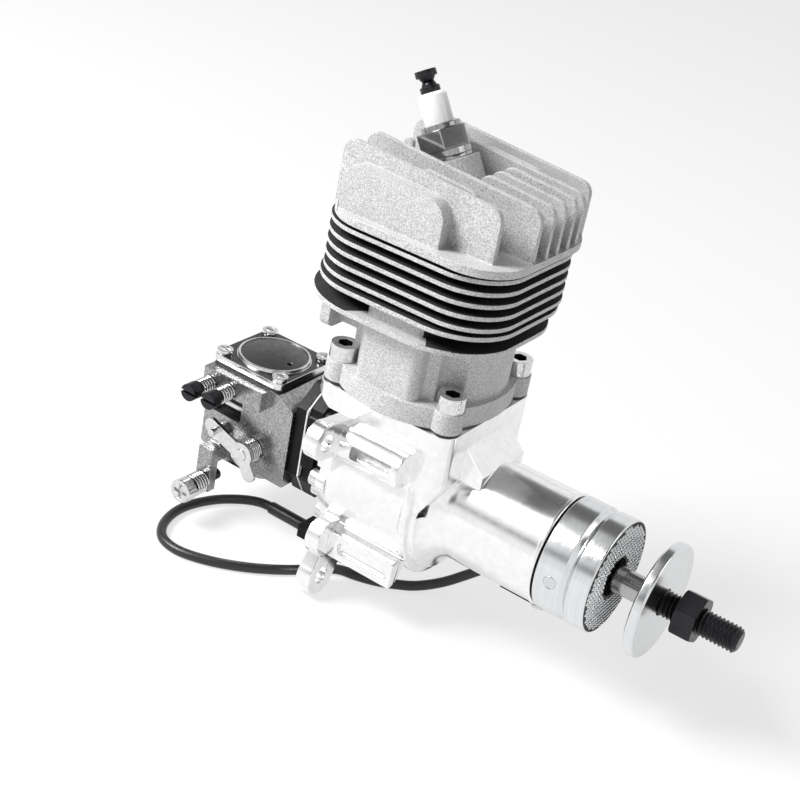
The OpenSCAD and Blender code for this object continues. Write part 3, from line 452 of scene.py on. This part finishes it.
@dataclass(frozen=True)
class Finish:
    """One surface finish of the engine."""

    name: str
    light: Colour
    dark: Colour
    roughness: tuple[float, float]
    metallic: float = 0.0
    pattern: Pattern = Pattern.CAST
    scale: float = 900.0
    relief: float = 0.0
    coat: float = 0.0
    specular: float = 0.5
    coat_roughness: float = 0.12

    def material(self) -> bpy.types.Material:
        """Returns this finish as a node material, made once."""
        if self.name in bpy.data.materials:
            return bpy.data.materials[self.name]
        material = bpy.data.materials.new(self.name)
        material.use_nodes = True
        tree = material.node_tree
        shader = tree.nodes["Principled BSDF"]
        shader.inputs["Metallic"].default_value = self.metallic
        shader.inputs["Coat Weight"].default_value = self.coat
        shader.inputs["Coat Roughness"].default_value = self.coat_roughness
        shader.inputs["Specular IOR Level"].default_value = self.specular
        place_node = tree.nodes.new("ShaderNodeTexCoord")
        group = tree.nodes.new("ShaderNodeGroup")
        group.node_tree = GrainGroup(self.pattern).tree()
        group.inputs["Scale"].default_value = self.scale
        group.inputs["Light Colour"].default_value = (*self.light, 1.0)
        group.inputs["Dark Colour"].default_value = (*self.dark, 1.0)
        group.inputs["Low Roughness"].default_value = self.roughness[0]
        group.inputs["High Roughness"].default_value = self.roughness[1]
        tree.links.new(place_node.outputs["Object"], group.inputs["Vector"])
        tree.links.new(group.outputs["Colour"], shader.inputs["Base Color"])
        tree.links.new(group.outputs["Roughness"], shader.inputs["Roughness"])
        if self.relief:
            bump = tree.nodes.new("ShaderNodeBump")
            bump.inputs["Strength"].default_value = 1.0
            bump.inputs["Distance"].default_value = self.relief * MM
            tree.links.new(group.outputs["Height"], bump.inputs["Height"])
            tree.links.new(bump.outputs["Normal"], shader.inputs["Normal"])
        return material


TUMBLED = Finish("f_tumbled_alloy", (0.92, 0.92, 0.92), (0.86, 0.86, 0.86), (0.16, 0.23), 1.0,
                 scale=330.0, relief=0.004)
BLASTED = Finish("f_blasted_alloy", (0.78, 0.78, 0.78), (0.32, 0.32, 0.32), (0.40, 0.58), 0.15,
                 scale=2900.0, relief=0.06, specular=0.3)
# Painted shade: a darker copy of the case alloy for the upper ribs' pockets.
SHADED = Finish("f_shaded_alloy", (0.42, 0.42, 0.42), (0.26, 0.26, 0.26), (0.26, 0.40), 1.0,
                scale=700.0, relief=0.02)
# Painted shade: a near-black alloy colour laid where shade falls, between the fins, in the
# carburettor's side recess, and on the hub under the knurl and in its bore.
PAINTED_SHADE = Finish("f_painted_shade", (0.055, 0.055, 0.055), (0.022, 0.022, 0.022), (0.45, 0.6),
                  scale=1900.0, relief=0.03, specular=0.12)
SCREW = Finish("f_plated_screw", (0.80, 0.80, 0.80), (0.62, 0.62, 0.62), (0.12, 0.24), 1.0,
               Pattern.PLAIN, 900.0)
COVER = Finish("f_dark_plate", (0.10, 0.10, 0.10), (0.05, 0.05, 0.05), (0.12, 0.22), 1.0,
               Pattern.PLAIN, 700.0)
TURNED = Finish("f_turned_alloy", (0.80, 0.81, 0.82), (0.66, 0.67, 0.68), (0.14, 0.26), 1.0,
                Pattern.TURNED, 5200.0, 0.006)
CHROMED = Finish("f_chromed_steel", (0.74, 0.74, 0.75), (0.62, 0.62, 0.63), (0.08, 0.16), 1.0,
                 Pattern.PLAIN, 700.0)
GROUND = Finish("f_ground_steel", (0.46, 0.46, 0.46), (0.34, 0.34, 0.34), (0.08, 0.16), 1.0,
                Pattern.TURNED, 4200.0, 0.003)
# Black oxide of the thread, nut, needles, terminal and idle screw; the base screws' sockets also
# get it as painted shade.
BLACK_OXIDE_AND_SHADE = Finish("f_black_oxide_and_shade", (0.035, 0.035, 0.04), (0.015, 0.015, 0.017), (0.24, 0.38), 0.7,
                 Pattern.PLAIN, 1400.0, 0.008)
DIE_CAST = Finish("f_die_cast_zinc", (0.50, 0.50, 0.50), (0.22, 0.22, 0.22), (0.20, 0.34), 1.0,
                  scale=1700.0, relief=0.014)
DOME = Finish("f_dome_lacquer", (0.17, 0.17, 0.17), (0.11, 0.11, 0.11), (0.36, 0.46), 1.0,
              Pattern.PLAIN, 600.0)
MOULDED = Finish("f_moulded_black", (0.014, 0.014, 0.015), (0.008, 0.008, 0.009), (0.22, 0.34), 0.0,
                 Pattern.PLAIN, 900.0, 0.006, specular=0.08)
PAPER = Finish("f_gasket_paper", (0.76, 0.76, 0.74), (0.60, 0.60, 0.58), (0.75, 0.9), 0.0,
               scale=2600.0)
RUBBER = Finish("f_lead_rubber", (0.020, 0.020, 0.022), (0.012, 0.012, 0.014), (0.30, 0.42), 0.0,
                Pattern.PLAIN, 1500.0, 0.008)
CERAMIC = Finish("f_glazed_ceramic", (0.92, 0.92, 0.92), (0.86, 0.86, 0.86), (0.10, 0.18), 0.0,
                 Pattern.PLAIN, 300.0, coat=0.8)
NICKEL = Finish("f_nickel_plate", (0.42, 0.42, 0.42), (0.30, 0.30, 0.30), (0.10, 0.20), 1.0,
                Pattern.PLAIN, 1100.0)
BRASS = Finish("f_turned_brass", (0.78, 0.62, 0.32), (0.62, 0.48, 0.22), (0.2, 0.32), 1.0,
               Pattern.PLAIN, 1600.0)
BEARING = Finish("f_bearing_steel", (0.70, 0.71, 0.72), (0.60, 0.61, 0.62), (0.12, 0.22), 1.0,
                 Pattern.TURNED, 3000.0)


def dress_node(node: str, finish: Finish) -> None:
    """Gives a CAD node that stays in view its finish."""
    shown = frame["nodes"][node]
    material = finish.material()
    if shown.material_slots:
        for slot in shown.material_slots:
            slot.material = material
    else:
        shown.data.materials.append(material)


# Studio
@dataclass
class Studio:
    """Floor, light and the camera of the photograph."""

    floor_z: float = -38.2
    look_at: Point = (5.0, 0.0, 21.57)
    azimuth: float = 29.77
    elevation: float = 27.78
    roll: float = 11.28
    distance: float = 467.01
    lens: float = 68.92
    sensor: float = 36.0
    floor_size: float = 24.0
    floor_level: float = 0.93
    fill: float = 0.2
    floor_glow: float = 0.7
    horizon: tuple[float, float] = (0.12, 0.42)
    panel_scale: float = 1.7
    panel_edges: tuple[float, float] = (0.44, 0.58)
    panel_levels: tuple[float, float] = (0.16, 0.95)
    lamps: tuple[tuple[str, Point, float, float], ...] = (
        ("main_softbox", (-0.55, -0.5, 0.8), 0.45, 17.5),
        ("side_softbox", (0.75, 0.25, 0.55), 0.5, 1.2))

    def build(self) -> None:
        """Makes the camera first, then the floor, the world and the lamps."""
        self._camera()
        self._floor()
        self._world()
        self._lamps()
        bpy.context.scene.view_settings.view_transform = "Standard"

    def _camera(self) -> None:
        """Sets the camera where the photograph was taken from."""
        a, e, r = (math.radians(x) for x in (self.azimuth, self.elevation, self.roll))
        back = Vector((math.sin(a) * math.cos(e), -math.cos(a) * math.cos(e), math.sin(e)))
        level = Vector((math.cos(a), math.sin(a), 0.0))
        rise = back.cross(level)
        right = level * math.cos(r) + rise * math.sin(r)
        up = rise * math.cos(r) - level * math.sin(r)
        data = bpy.data.cameras.new("camera")
        data.lens = self.lens
        data.sensor_width = self.sensor
        data.clip_start = 0.01
        data.clip_end = 60.0
        camera = linked("camera", data)
        spot = (Vector(self.look_at) + back * self.distance) * MM
        camera.matrix_world = Matrix((
            (right.x, up.x, back.x, spot.x), (right.y, up.y, back.y, spot.y),
            (right.z, up.z, back.z, spot.z), (0, 0, 0, 1)))
        bpy.context.scene.camera = camera

    def _floor(self) -> None:
        """Lays a pale level floor under the lower lugs."""
        only_nothing()
        bpy.ops.mesh.primitive_plane_add(size=self.floor_size,
                                         location=(0, 0, self.floor_z * MM))
        floor = named("floor")
        material = bpy.data.materials.new("pale_floor")
        material.use_nodes = True
        tree = material.node_tree
        shader = tree.nodes["Principled BSDF"]
        shader.inputs["Base Color"].default_value = (self.floor_level,) * 3 + (1.0,)
        shader.inputs["Roughness"].default_value = 0.9
        shader.inputs["Specular IOR Level"].default_value = 0.1
        glow = tree.nodes.new("ShaderNodeEmission")
        glow.inputs["Strength"].default_value = 1.0
        mix = tree.nodes.new("ShaderNodeMixShader")
        share = reckon(tree, "MULTIPLY", self._seen(tree), self.floor_glow)
        tree.links.new(share, mix.inputs["Fac"])
        tree.links.new(shader.outputs[0], mix.inputs[1])
        tree.links.new(glow.outputs[0], mix.inputs[2])
        tree.links.new(mix.outputs[0], tree.nodes["Material Output"].inputs["Surface"])
        dress(floor, material)

    @staticmethod
    def _seen(tree: bpy.types.NodeTree) -> bpy.types.NodeSocket:
        """Returns 1 for rays that see the background directly or through metal and glass."""
        path = tree.nodes.new("ShaderNodeLightPath")
        both = reckon(tree, "MAXIMUM", path.outputs["Is Camera Ray"], path.outputs["Is Glossy Ray"])
        return reckon(tree, "MAXIMUM", both, path.outputs["Is Transmission Ray"])

    def _world(self) -> None:
        """A plain level for diffuse light; metal sees a pale horizon under a darker ceiling."""
        world = bpy.data.worlds.new("surround")
        bpy.context.scene.world = world
        world.use_nodes = True
        tree = world.node_tree
        ground = tree.nodes["Background"]
        ground.inputs["Color"].default_value = (1, 1, 1, 1)
        way = tree.nodes.new("ShaderNodeTexCoord")
        split = tree.nodes.new("ShaderNodeSeparateXYZ")
        tree.links.new(way.outputs["Generated"], split.inputs[0])
        ceiling = graded(tree, split.outputs[2], self.horizon, (1.0, 0.0), soft=True)
        drift = tree.nodes.new("ShaderNodeTexNoise")
        drift.inputs["Scale"].default_value = self.panel_scale
        drift.inputs["Detail"].default_value = 0.0
        tree.links.new(way.outputs["Generated"], drift.inputs["Vector"])
        panels = graded(tree, drift.outputs["Fac"], self.panel_edges, self.panel_levels, soft=True)
        level = tree.nodes.new("ShaderNodeMix")
        level.inputs[2].default_value = self.fill
        tree.links.new(self._seen(tree), level.inputs["Factor"])
        tree.links.new(reckon(tree, "MAXIMUM", ceiling, panels), level.inputs[3])
        tree.links.new(level.outputs[0], ground.inputs["Strength"])

    def _lamps(self) -> None:
        """Two soft boxes: the main one high on the left, a weak one on the right."""
        for name, spot, size, power in self.lamps:
            data = bpy.data.lights.new(name, "AREA")
            data.size = size
            data.energy = power
            lamp = linked(name, data)
            lamp.location = spot
            lamp.rotation_euler = (-Vector(spot)).to_track_quat("-Z", "Y").to_euler()


# Sensor lead
@dataclass
class SensorLead:
    """The speed sensor, its round lead, the sleeve on it and its plug."""

    diameter: float = 3.2
    route: tuple[Point, ...] = (
        (51.6, 8, -22.4), (47.5, 8, -22.4), (43, 7.8, -24.2), (38, 6.5, -28.6), (31.5, 3, -33.6),
        (25, -2, -36.2), (19, -6.5, -36.6), (14, -9.6, -36.6), (8.5, -11.8, -36.6),
        (3, -13.4, -36.6), (-1.4, -17.5, -36.6), (-6.2, -24.2, -36.6), (-12.2, -30.6, -36.6),
        (-18.4, -35.8, -36.6), (-25.3, -40.2, -36.6), (-33, -43.5, -36.6), (-39.3, -44.5, -36.6),
        (-45.3, -42.9, -36.6), (-49.9, -37.9, -36.6), (-52.5, -30.2, -36.6),
        (-52.3, -22, -36.6), (-48.9, -13.1, -36.6), (-43.7, -6.8, -36.5), (-39, -4, -36.15),
        (-35.5, -3.05, -36.1), (-32, -3, -36.1), (-26, -3, -36.1), (-19, -3, -36.1),
        (-12, -3, -36.1))
    fine_steps: int = 6

    def build(self) -> None:
        """Lays the lead along its route and dresses what is on it."""
        rubber = RUBBER.material()
        plug = softened("sensor_plug", MOULDED.material(), 0.25)
        sleeve = softened("sensor_sleeve", rubber, 0.15)
        softened("sensor_body", MOULDED.material(), 0.3)
        softened("sensor_screw", CHROMED.material(), 0.1)
        points = self._smooth_route()
        data = bpy.data.curves.new("sensor_lead", "CURVE")
        data.dimensions = "3D"
        data.bevel_depth = self.diameter / 2 * MM
        data.bevel_resolution = 5
        data.use_fill_caps = True
        spline = data.splines.new("POLY")
        spline.points.add(len(points) - 1)
        for knot, p in zip(spline.points, points):
            knot.co = (*p, 1.0)
        spline.use_smooth = True
        lead = linked("sensor_lead", data)
        data.materials.append(rubber)
        adopt(lead, "sensor_cable")

    def _smooth_route(self) -> list[Vector]:
        """Returns points close together on a smooth curve through the route."""
        knots = [Vector(p) * MM for p in self.route]
        points: list[Vector] = []
        for i in range(len(knots) - 1):
            a, b, c, d = (knots[max(i - 1, 0)], knots[i], knots[i + 1],
                          knots[min(i + 2, len(knots) - 1)])
            for k in range(self.fine_steps):
                t = k / self.fine_steps
                points.append(0.5 * (2 * b + (c - a) * t + (2 * a - 5 * b + 4 * c - d) * t * t
                                     + (3 * b - a - 3 * c + d) * t ** 3))
        points.append(knots[-1])
        return points


# Castings
@dataclass
class Crankcase:
    """The bright crankcase casting and what closes it."""

    edge: float = 0.35
    case_r: float = 26.03
    rib_span: tuple[float, float] = (5.05, 29.5)
    rib_room: tuple[float, float] = (-25.0, -11.0)
    rib_sides: tuple[float, float] = (26.1, 34.0)
    rib_tops: tuple[float, float] = (21.0, 27.0)
    rib_top: float = -15.2
    pocket_span: tuple[float, float] = (8.5, 26.8)
    pocket_depths: tuple[float, float] = (24.3, 30.0)
    pocket_heights: tuple[float, float] = (-21.6, -17.6)
    pocket_rounding: float = 1.2
    upper_pocket: tuple[Point, Point] = ((9.8, 28.0, 14.9), (24.2, 29.3, 19.1))

    def build(self) -> None:
        """Dresses the casting, the rear cover and the base gasket."""
        casting = softened("crankcase", TUMBLED.material(), self.edge, merge=False,
                           shape=self._trim_ribs)
        # The upper ribs' pockets get a darker alloy colour as painted shade.
        paint(casting, SHADED.material(), self._in_pocket)
        softened("rear_cover", TUMBLED.material(), 0.2)
        for node in ("rear_cover_screws", "manifold_screws"):
            softened(node, SCREW.material(), 0.12)
        for node in ("shaft_seal", "base_gasket"):
            dress_node(node, RUBBER)
        for node in ("bearing_outer_rings", "bearing_inner_rings", "bearing_balls"):
            dress_node(node, BEARING)

    def _trim_ribs(self, casting: bpy.types.Object) -> None:
        """Makes the lower ribs flat and slim, with a long pocket, outside the round case."""
        bottom, top = self.rib_room
        for side in (-1, 1):
            cut(casting, self._block("rib_side", side, self.rib_span, self.rib_sides,
                                     (bottom, top)))
            round_case = rod("round_case", (0, 0, 0), (40, 0, 0), self.case_r, 160)
            cut(casting, self._block("rib_top", side, self.rib_span, self.rib_tops,
                                     (self.rib_top, top)), round_case)
            cut(casting, self._block("rib_pocket", side, self.pocket_span, self.pocket_depths,
                                     self.pocket_heights, self.pocket_rounding))

    @staticmethod
    def _block(name: str, side: int, span: tuple[float, float], depths: tuple[float, float],
               heights: tuple[float, float], rounding: float = 0.0) -> bpy.types.Object:
        """Makes a cutting box on one side of the case.

        Args:
            name: Name of the box.
            side: 1 for port and -1 for starboard.
            span: Its ends along X.
            depths: Its distances from the middle plane.
            heights: Its bottom and top.
            rounding: Radius of its edges.

        Returns:
            The box.
        """
        near, far = sorted(depth * side for depth in depths)
        return box(name, (span[0], near, heights[0]), (span[1], far, heights[1]), rounding)

    def _in_pocket(self, at: Vector, normal: Vector) -> bool:
        """Says whether a face lies in the pocket of an upper rib, which gets painted shade."""
        low, high = self.upper_pocket
        return all(a < v < b for a, v, b in zip(low, (at.x, abs(at.y), at.z), high))


@dataclass
class FinnedCylinder:
    """The cylinder cast in one with its head, and its screws."""

    edge: float = 0.25
    centre: tuple[float, float] = (11.2, 0.0)
    half: tuple[float, float] = (31.0, 27.8)
    corner: float = 16.5
    gap_floor: float = 57.5
    gap_top: float = 82.2
    bulge_x: float = 13.0
    bulge_half: float = 11.5
    bulge_y: float = 24.8
    bulge_top: float = 62.7
    rim: float = 1.0
    level: float = 0.9
    screws_x: tuple[float, float] = (-6.1, 32.1)
    screws_y: tuple[float, float] = (-18.6, 18.6)
    socket_heights: tuple[float, float] = (39.0, 42.3)
    socket_r: float = 2.4

    def build(self) -> None:
        """Dresses the casting and the four base screws."""
        casting = softened("finned_cylinder", BLASTED.material(), self.edge, merge=False)
        # Faces deep between the fins get a near-black colour as painted shade.
        paint(casting, PAINTED_SHADE.material(), self._in_fin_shade)
        screws = softened("base_screws", SCREW.material(), 0.25)
        # The key sockets get the black oxide colour as painted shade.
        paint(screws, BLACK_OXIDE_AND_SHADE.material(), self._in_socket_shade)

    def _in_fin_shade(self, at: Vector, normal: Vector) -> bool:
        """Says whether a face lies deep between the level fins, which is painted shade."""
        on_bulge = (abs(at.x - self.bulge_x) < self.bulge_half and abs(at.y) > self.bulge_y
                    and at.z < self.bulge_top)
        if on_bulge or not self.gap_floor < at.z < self.gap_top:
            return False
        past = [abs(at[i] - self.centre[i]) - self.half[i] + self.corner for i in (0, 1)]
        away = math.hypot(max(past[0], 0), max(past[1], 0)) + min(max(past), 0) - self.corner
        return away < -self.rim or abs(normal.z) > self.level

    def _in_socket_shade(self, at: Vector, normal: Vector) -> bool:
        """Says whether a face lies inside the key socket of a base screw, which is painted dark as
        shade.
        """
        low, high = self.socket_heights
        return low < at.z < high and self.socket_r > min(
            math.hypot(at.x - x, at.y - y) for x in self.screws_x for y in self.screws_y)


@dataclass
class SparkPlug:
    """The leaning spark plug."""

    seat: Point = (4.0, 3.0, 98.4)
    lean: float = 31.8
    insulator: tuple[tuple[float, float, float, float], ...] = (
        (8.0, 18.8, 4.25, 4.25), (18.7, 19.6, 4.2, 3.3))
    terminal: tuple[tuple[float, float, float, float], ...] = (
        (19.6, 21.4, 2.9, 2.9), (21.3, 22.8, 2.4, 1.7), (22.7, 24.2, 1.7, 2.6),
        (24.0, 26.0, 3.15, 3.15), (-13.2, 20.0, 1.0, 1.0))

    def build(self) -> None:
        """Dresses shell and sealing ring, and turns the insulator and the terminal."""
        softened("plug_shell", NICKEL.material(), 0.3)
        softened("plug_washer", NICKEL.material(), 0.2)
        pose = Matrix.Translation(Vector(self.seat) * MM) @ Matrix.Rotation(
            -math.radians(self.lean), 4, "Y")
        for node, levels, finish, edge in (
                ("plug_insulator", self.insulator, CERAMIC, 0.3),
                ("plug_terminal", self.terminal, BLACK_OXIDE_AND_SHADE, 0.25)):
            piece = stack(f"{node}_shown", levels, edge)
            place(piece, pose)
            dress(piece, finish.material())
            adopt(piece, node)


@dataclass
class IntakeTract:
    """Manifold, spacer, gaskets and reeds between carburettor and crankcase."""

    def build(self) -> None:
        """Dresses the black mouldings and the pale gaskets."""
        softened("intake_manifold", MOULDED.material(), 0.4)
        softened("carb_spacer", MOULDED.material(), 0.3)
        for node in ("manifold_gasket", "carb_gasket"):
            dress_node(node, PAPER)
        dress_node("reed_block", MOULDED)
        dress_node("reed_petals", BEARING)


@dataclass(frozen=True)
class Spring:
    """One wound spring whose axis runs along Y, with its sizes in millimetres."""

    name: str
    at: tuple[float, float]
    radius: float
    wire: float
    start: float
    end: float
    turns: float = 5

    def build(self) -> bpy.types.Object:
        """Winds the spring in its place and returns it."""
        pitch = (self.end - self.start - 2 * self.wire) / self.turns
        spring = coil(self.name, self.radius, self.wire, pitch, self.turns)
        turn = Matrix.Rotation(-math.pi / 2, 4, "X")
        foot = Vector((self.at[0], self.start + self.wire, self.at[1])) * MM
        place(spring, Matrix.Translation(foot) @ turn)
        smooth(spring, 50)
        dress(spring, CHROMED.material())
        return spring


@dataclass
class Carburettor:
    """The diaphragm carburettor with its linkage, needles and springs."""

    spring_space: tuple[float, float, float] = (-18.0, -14.05, 5.2)
    recess: tuple[Point, Point] = ((-55.0, -16.0, -4.2), (-43.2, -11.0, 5.2))
    recess_rounding: float = 0.8
    recess_mouth: float = -13.9
    margin: float = 0.05
    cover_top: float = 15.8
    idle_head: float = -28.4
    return_spring: Spring = Spring("return_spring", (-36.5, -10.5), 3.6, 0.27, -18.8, -14.1)
    idle_spring: Spring = Spring("idle_spring_coil", (-49.1, -25.6), 3.4, 0.4, -28.55, -22.05)
    needle_springs: tuple[Spring, Spring] = (
        Spring("needle_spring_high", (-54.0, 7.0), 2.4, 0.38, -24.55, -18.05),
        Spring("needle_spring_low", (-46.0, 7.6), 2.4, 0.38, -24.55, -18.05))

    def build(self) -> None:
        """Dresses the body and its covers and winds the springs."""
        body = softened("carb_body", DIE_CAST.material(), 0.2, shape=self._carve)
        # The side recess gets a near-black colour as painted shade.
        paint(body, PAINTED_SHADE.material(), self._in_recess_shade)
        cover = softened("metering_cover", SCREW.material(), 0.3)
        paint(cover, COVER.material(),
              lambda at, normal: normal.z > 0.99 and at.z < self.cover_top)
        softened("cover_dome", DOME.material(), 0.3, 3)
        softened("cover_screws", SCREW.material(), 0.2)
        softened("pump_cover", DIE_CAST.material(), 0.3)
        softened("fuel_nipple", BRASS.material(), 0.2)
        for node, edge in (("throttle_lever", 0.2), ("choke_lever", 0.2), ("throttle_shaft", 0.15),
                           ("choke_shaft", 0.15), ("choke_plate", 0.15), ("carb_screws", 0.15)):
            softened(node, CHROMED.material(), edge)
        for node in ("high_needle", "low_needle"):
            softened(node, BLACK_OXIDE_AND_SHADE.material(), 0.2)
        screw = softened("idle_screw", SCREW.material(), 0.4)
        paint(screw, BLACK_OXIDE_AND_SHADE.material(), lambda at, normal: at.y > self.idle_head)
        dress_node("carb_diaphragms", RUBBER)
        dress_node("throttle_plate", BRASS)
        adopt(self.return_spring.build(), "throttle_spring")
        adopt(self.idle_spring.build(), "idle_spring")
        first, second = (spring.build() for spring in self.needle_springs)
        only(first, second)
        bpy.ops.object.join()
        adopt(first, "needle_springs")

    def _carve(self, body: bpy.types.Object) -> None:
        """Frees the return spring and hollows the body's side under the needles."""
        x, z = self.return_spring.at
        outer, inner, radius = self.spring_space
        cut(body, rod("spring_space", (x, outer, z), (x, inner, z), radius))
        cut(body, box("side_recess", *self.recess, self.recess_rounding))

    def _in_recess_shade(self, at: Vector, normal: Vector) -> bool:
        """Says whether a face lies inside the recess of the body's side, which is painted shade."""
        low, high = self.recess
        return at.y > self.recess_mouth and all(
            a - self.margin < v < b + self.margin for a, v, b in zip(low, at, high))


# Running gear
@dataclass
class PropellerDrive:
    """Crankshaft end with its thread, the hub, the washer and the nut."""

    thread_start: float = 100.0
    thread_end: float = 126.2
    thread_r: float = 4.0
    core_r: float = 3.46
    pitch: float = 1.25
    thread_sink: float = 0.06
    thread_runout: float = 0.5
    thread_margin: float = 0.02
    hub_face: float = 86.5
    bore_depth: float = 4.2
    face_margin: float = 0.05
    rim: float = 0.6
    knurl_in: float = 6.3
    knurl_out: float = 17.5
    knurl_pitch: float = 1.5
    knurl_foot: float = 0.56
    knurl_tip: float = 0.3
    knurl_height: float = 0.45
    knurl_stand: float = 0.17

    def build(self) -> None:
        """Cuts the thread, knurls the hub and dresses the rest."""
        shaft = softened("crankshaft", GROUND.material(), 0.25)
        self._neck(shaft)
        paint(shaft, BLACK_OXIDE_AND_SHADE.material(), lambda at, normal: at.x > self.thread_start)
        self._thread()
        hub = softened("prop_hub", TURNED.material(), 0.15)
        # The hub face under the knurl and the bore get a near-black colour as painted shade.
        paint(hub, PAINTED_SHADE.material(), self._in_shade)
        self._knurl()
        softened("prop_washer", TURNED.material(), 0.2)
        softened("prop_nut", BLACK_OXIDE_AND_SHADE.material(), 0.2)
        dress_node("hub_key", BEARING)
        softened("hub_magnet", BEARING.material(), 0.1)

    def _in_shade(self, at: Vector, normal: Vector) -> bool:
        """Says whether a face of the hub lies under the knurl or inside the bore, where shade is
        painted.
        """
        away = math.hypot(at.y, at.z)
        under = at.x > self.hub_face - self.face_margin and away < self.knurl_out + self.rim
        return under or (at.x > self.hub_face - self.bore_depth and away < self.knurl_in)

    def _neck(self, shaft: bpy.types.Object) -> None:
        """Turns the shaft's threaded stretch down to the core of the thread."""
        for v in shaft.data.vertices:
            v.select = v.co.x > (self.thread_start + self.thread_margin) * MM
        widen_selection(shaft)
        share = self.core_r / self.thread_r
        bpy.ops.transform.resize(value=(1.0, share, share), center_override=(0.0, 0.0, 0.0))
        bpy.ops.object.mode_set(mode="OBJECT")

    def _thread(self) -> None:
        """Winds the ridge of the thread round the core."""
        turns = (self.thread_end - self.thread_start - 2 * self.thread_runout) / self.pitch
        deep = (self.thread_r - self.core_r) + self.thread_sink
        ridge = coil("shaft_thread", self.thread_r - deep, deep, self.pitch, turns, 4, 32)
        along_crank(ridge, self.thread_start + self.thread_runout)
        smooth(ridge, 35)
        dress(ridge, BLACK_OXIDE_AND_SHADE.material())
        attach(ridge, BODY_OF["crankshaft"])

    def _knurl(self) -> None:
        """Covers the hub's front face with small pyramids."""
        only_nothing()
        bpy.ops.mesh.primitive_cone_add(
            vertices=4, radius1=self.knurl_pitch * self.knurl_foot * MM,
            radius2=self.knurl_tip * MM, depth=self.knurl_height * MM, location=(0, 0, 0))
        knurl = named("hub_knurl")
        corners = len(knurl.data.vertices)
        half = int(self.knurl_out / self.knurl_pitch) + 1
        for step in ((self.knurl_pitch * MM, 0, 0), (0, self.knurl_pitch * MM, 0)):
            finish_modifier(knurl, "ARRAY", count=2 * half + 1, use_relative_offset=False,
                            use_constant_offset=True, constant_offset_displace=step)
        shift = -half * self.knurl_pitch * MM
        place(knurl, Matrix.Translation((shift, shift, 0)))
        mesh = knurl.data
        for start in range(0, len(mesh.vertices), corners):
            block = [mesh.vertices[i] for i in range(start, start + corners)]
            reach = [math.hypot(v.co.x, v.co.y) for v in block]
            outside = max(reach) > self.knurl_out * MM or min(reach) < self.knurl_in * MM
            for v in block:
                v.select = outside
        widen_selection(knurl)
        bpy.ops.mesh.delete(type="VERT")
        bpy.ops.object.mode_set(mode="OBJECT")
        along_crank(knurl, self.hub_face + self.knurl_stand)
        dress(knurl, TURNED.material())
        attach(knurl, BODY_OF["prop_hub"])


@dataclass
class RunningGear:
    """Piston, rod and pins, which only show from inside."""

    def build(self) -> None:
        """Dresses the moving pieces inside the engine."""
        dress_node("piston", TURNED)
        for node in ("connecting_rod", "crank_pin", "big_end_bearing", "wrist_pin", "circlips",
                     "piston_rings"):
            dress_node(node, BEARING)


def main() -> None:
    """Builds the studio and each sub-assembly in order."""
    logging.basicConfig(level=logging.INFO, format="%(name)s: %(message)s")
    for maker in (Studio(), SensorLead(), Crankcase(), FinnedCylinder(), SparkPlug(),
                  IntakeTract(), Carburettor(), PropellerDrive(), RunningGear()):
        maker.build()
        log.info("built %s", type(maker).__name__)
    bpy.context.view_layer.update()


if __name__ == "__main__":
    main()
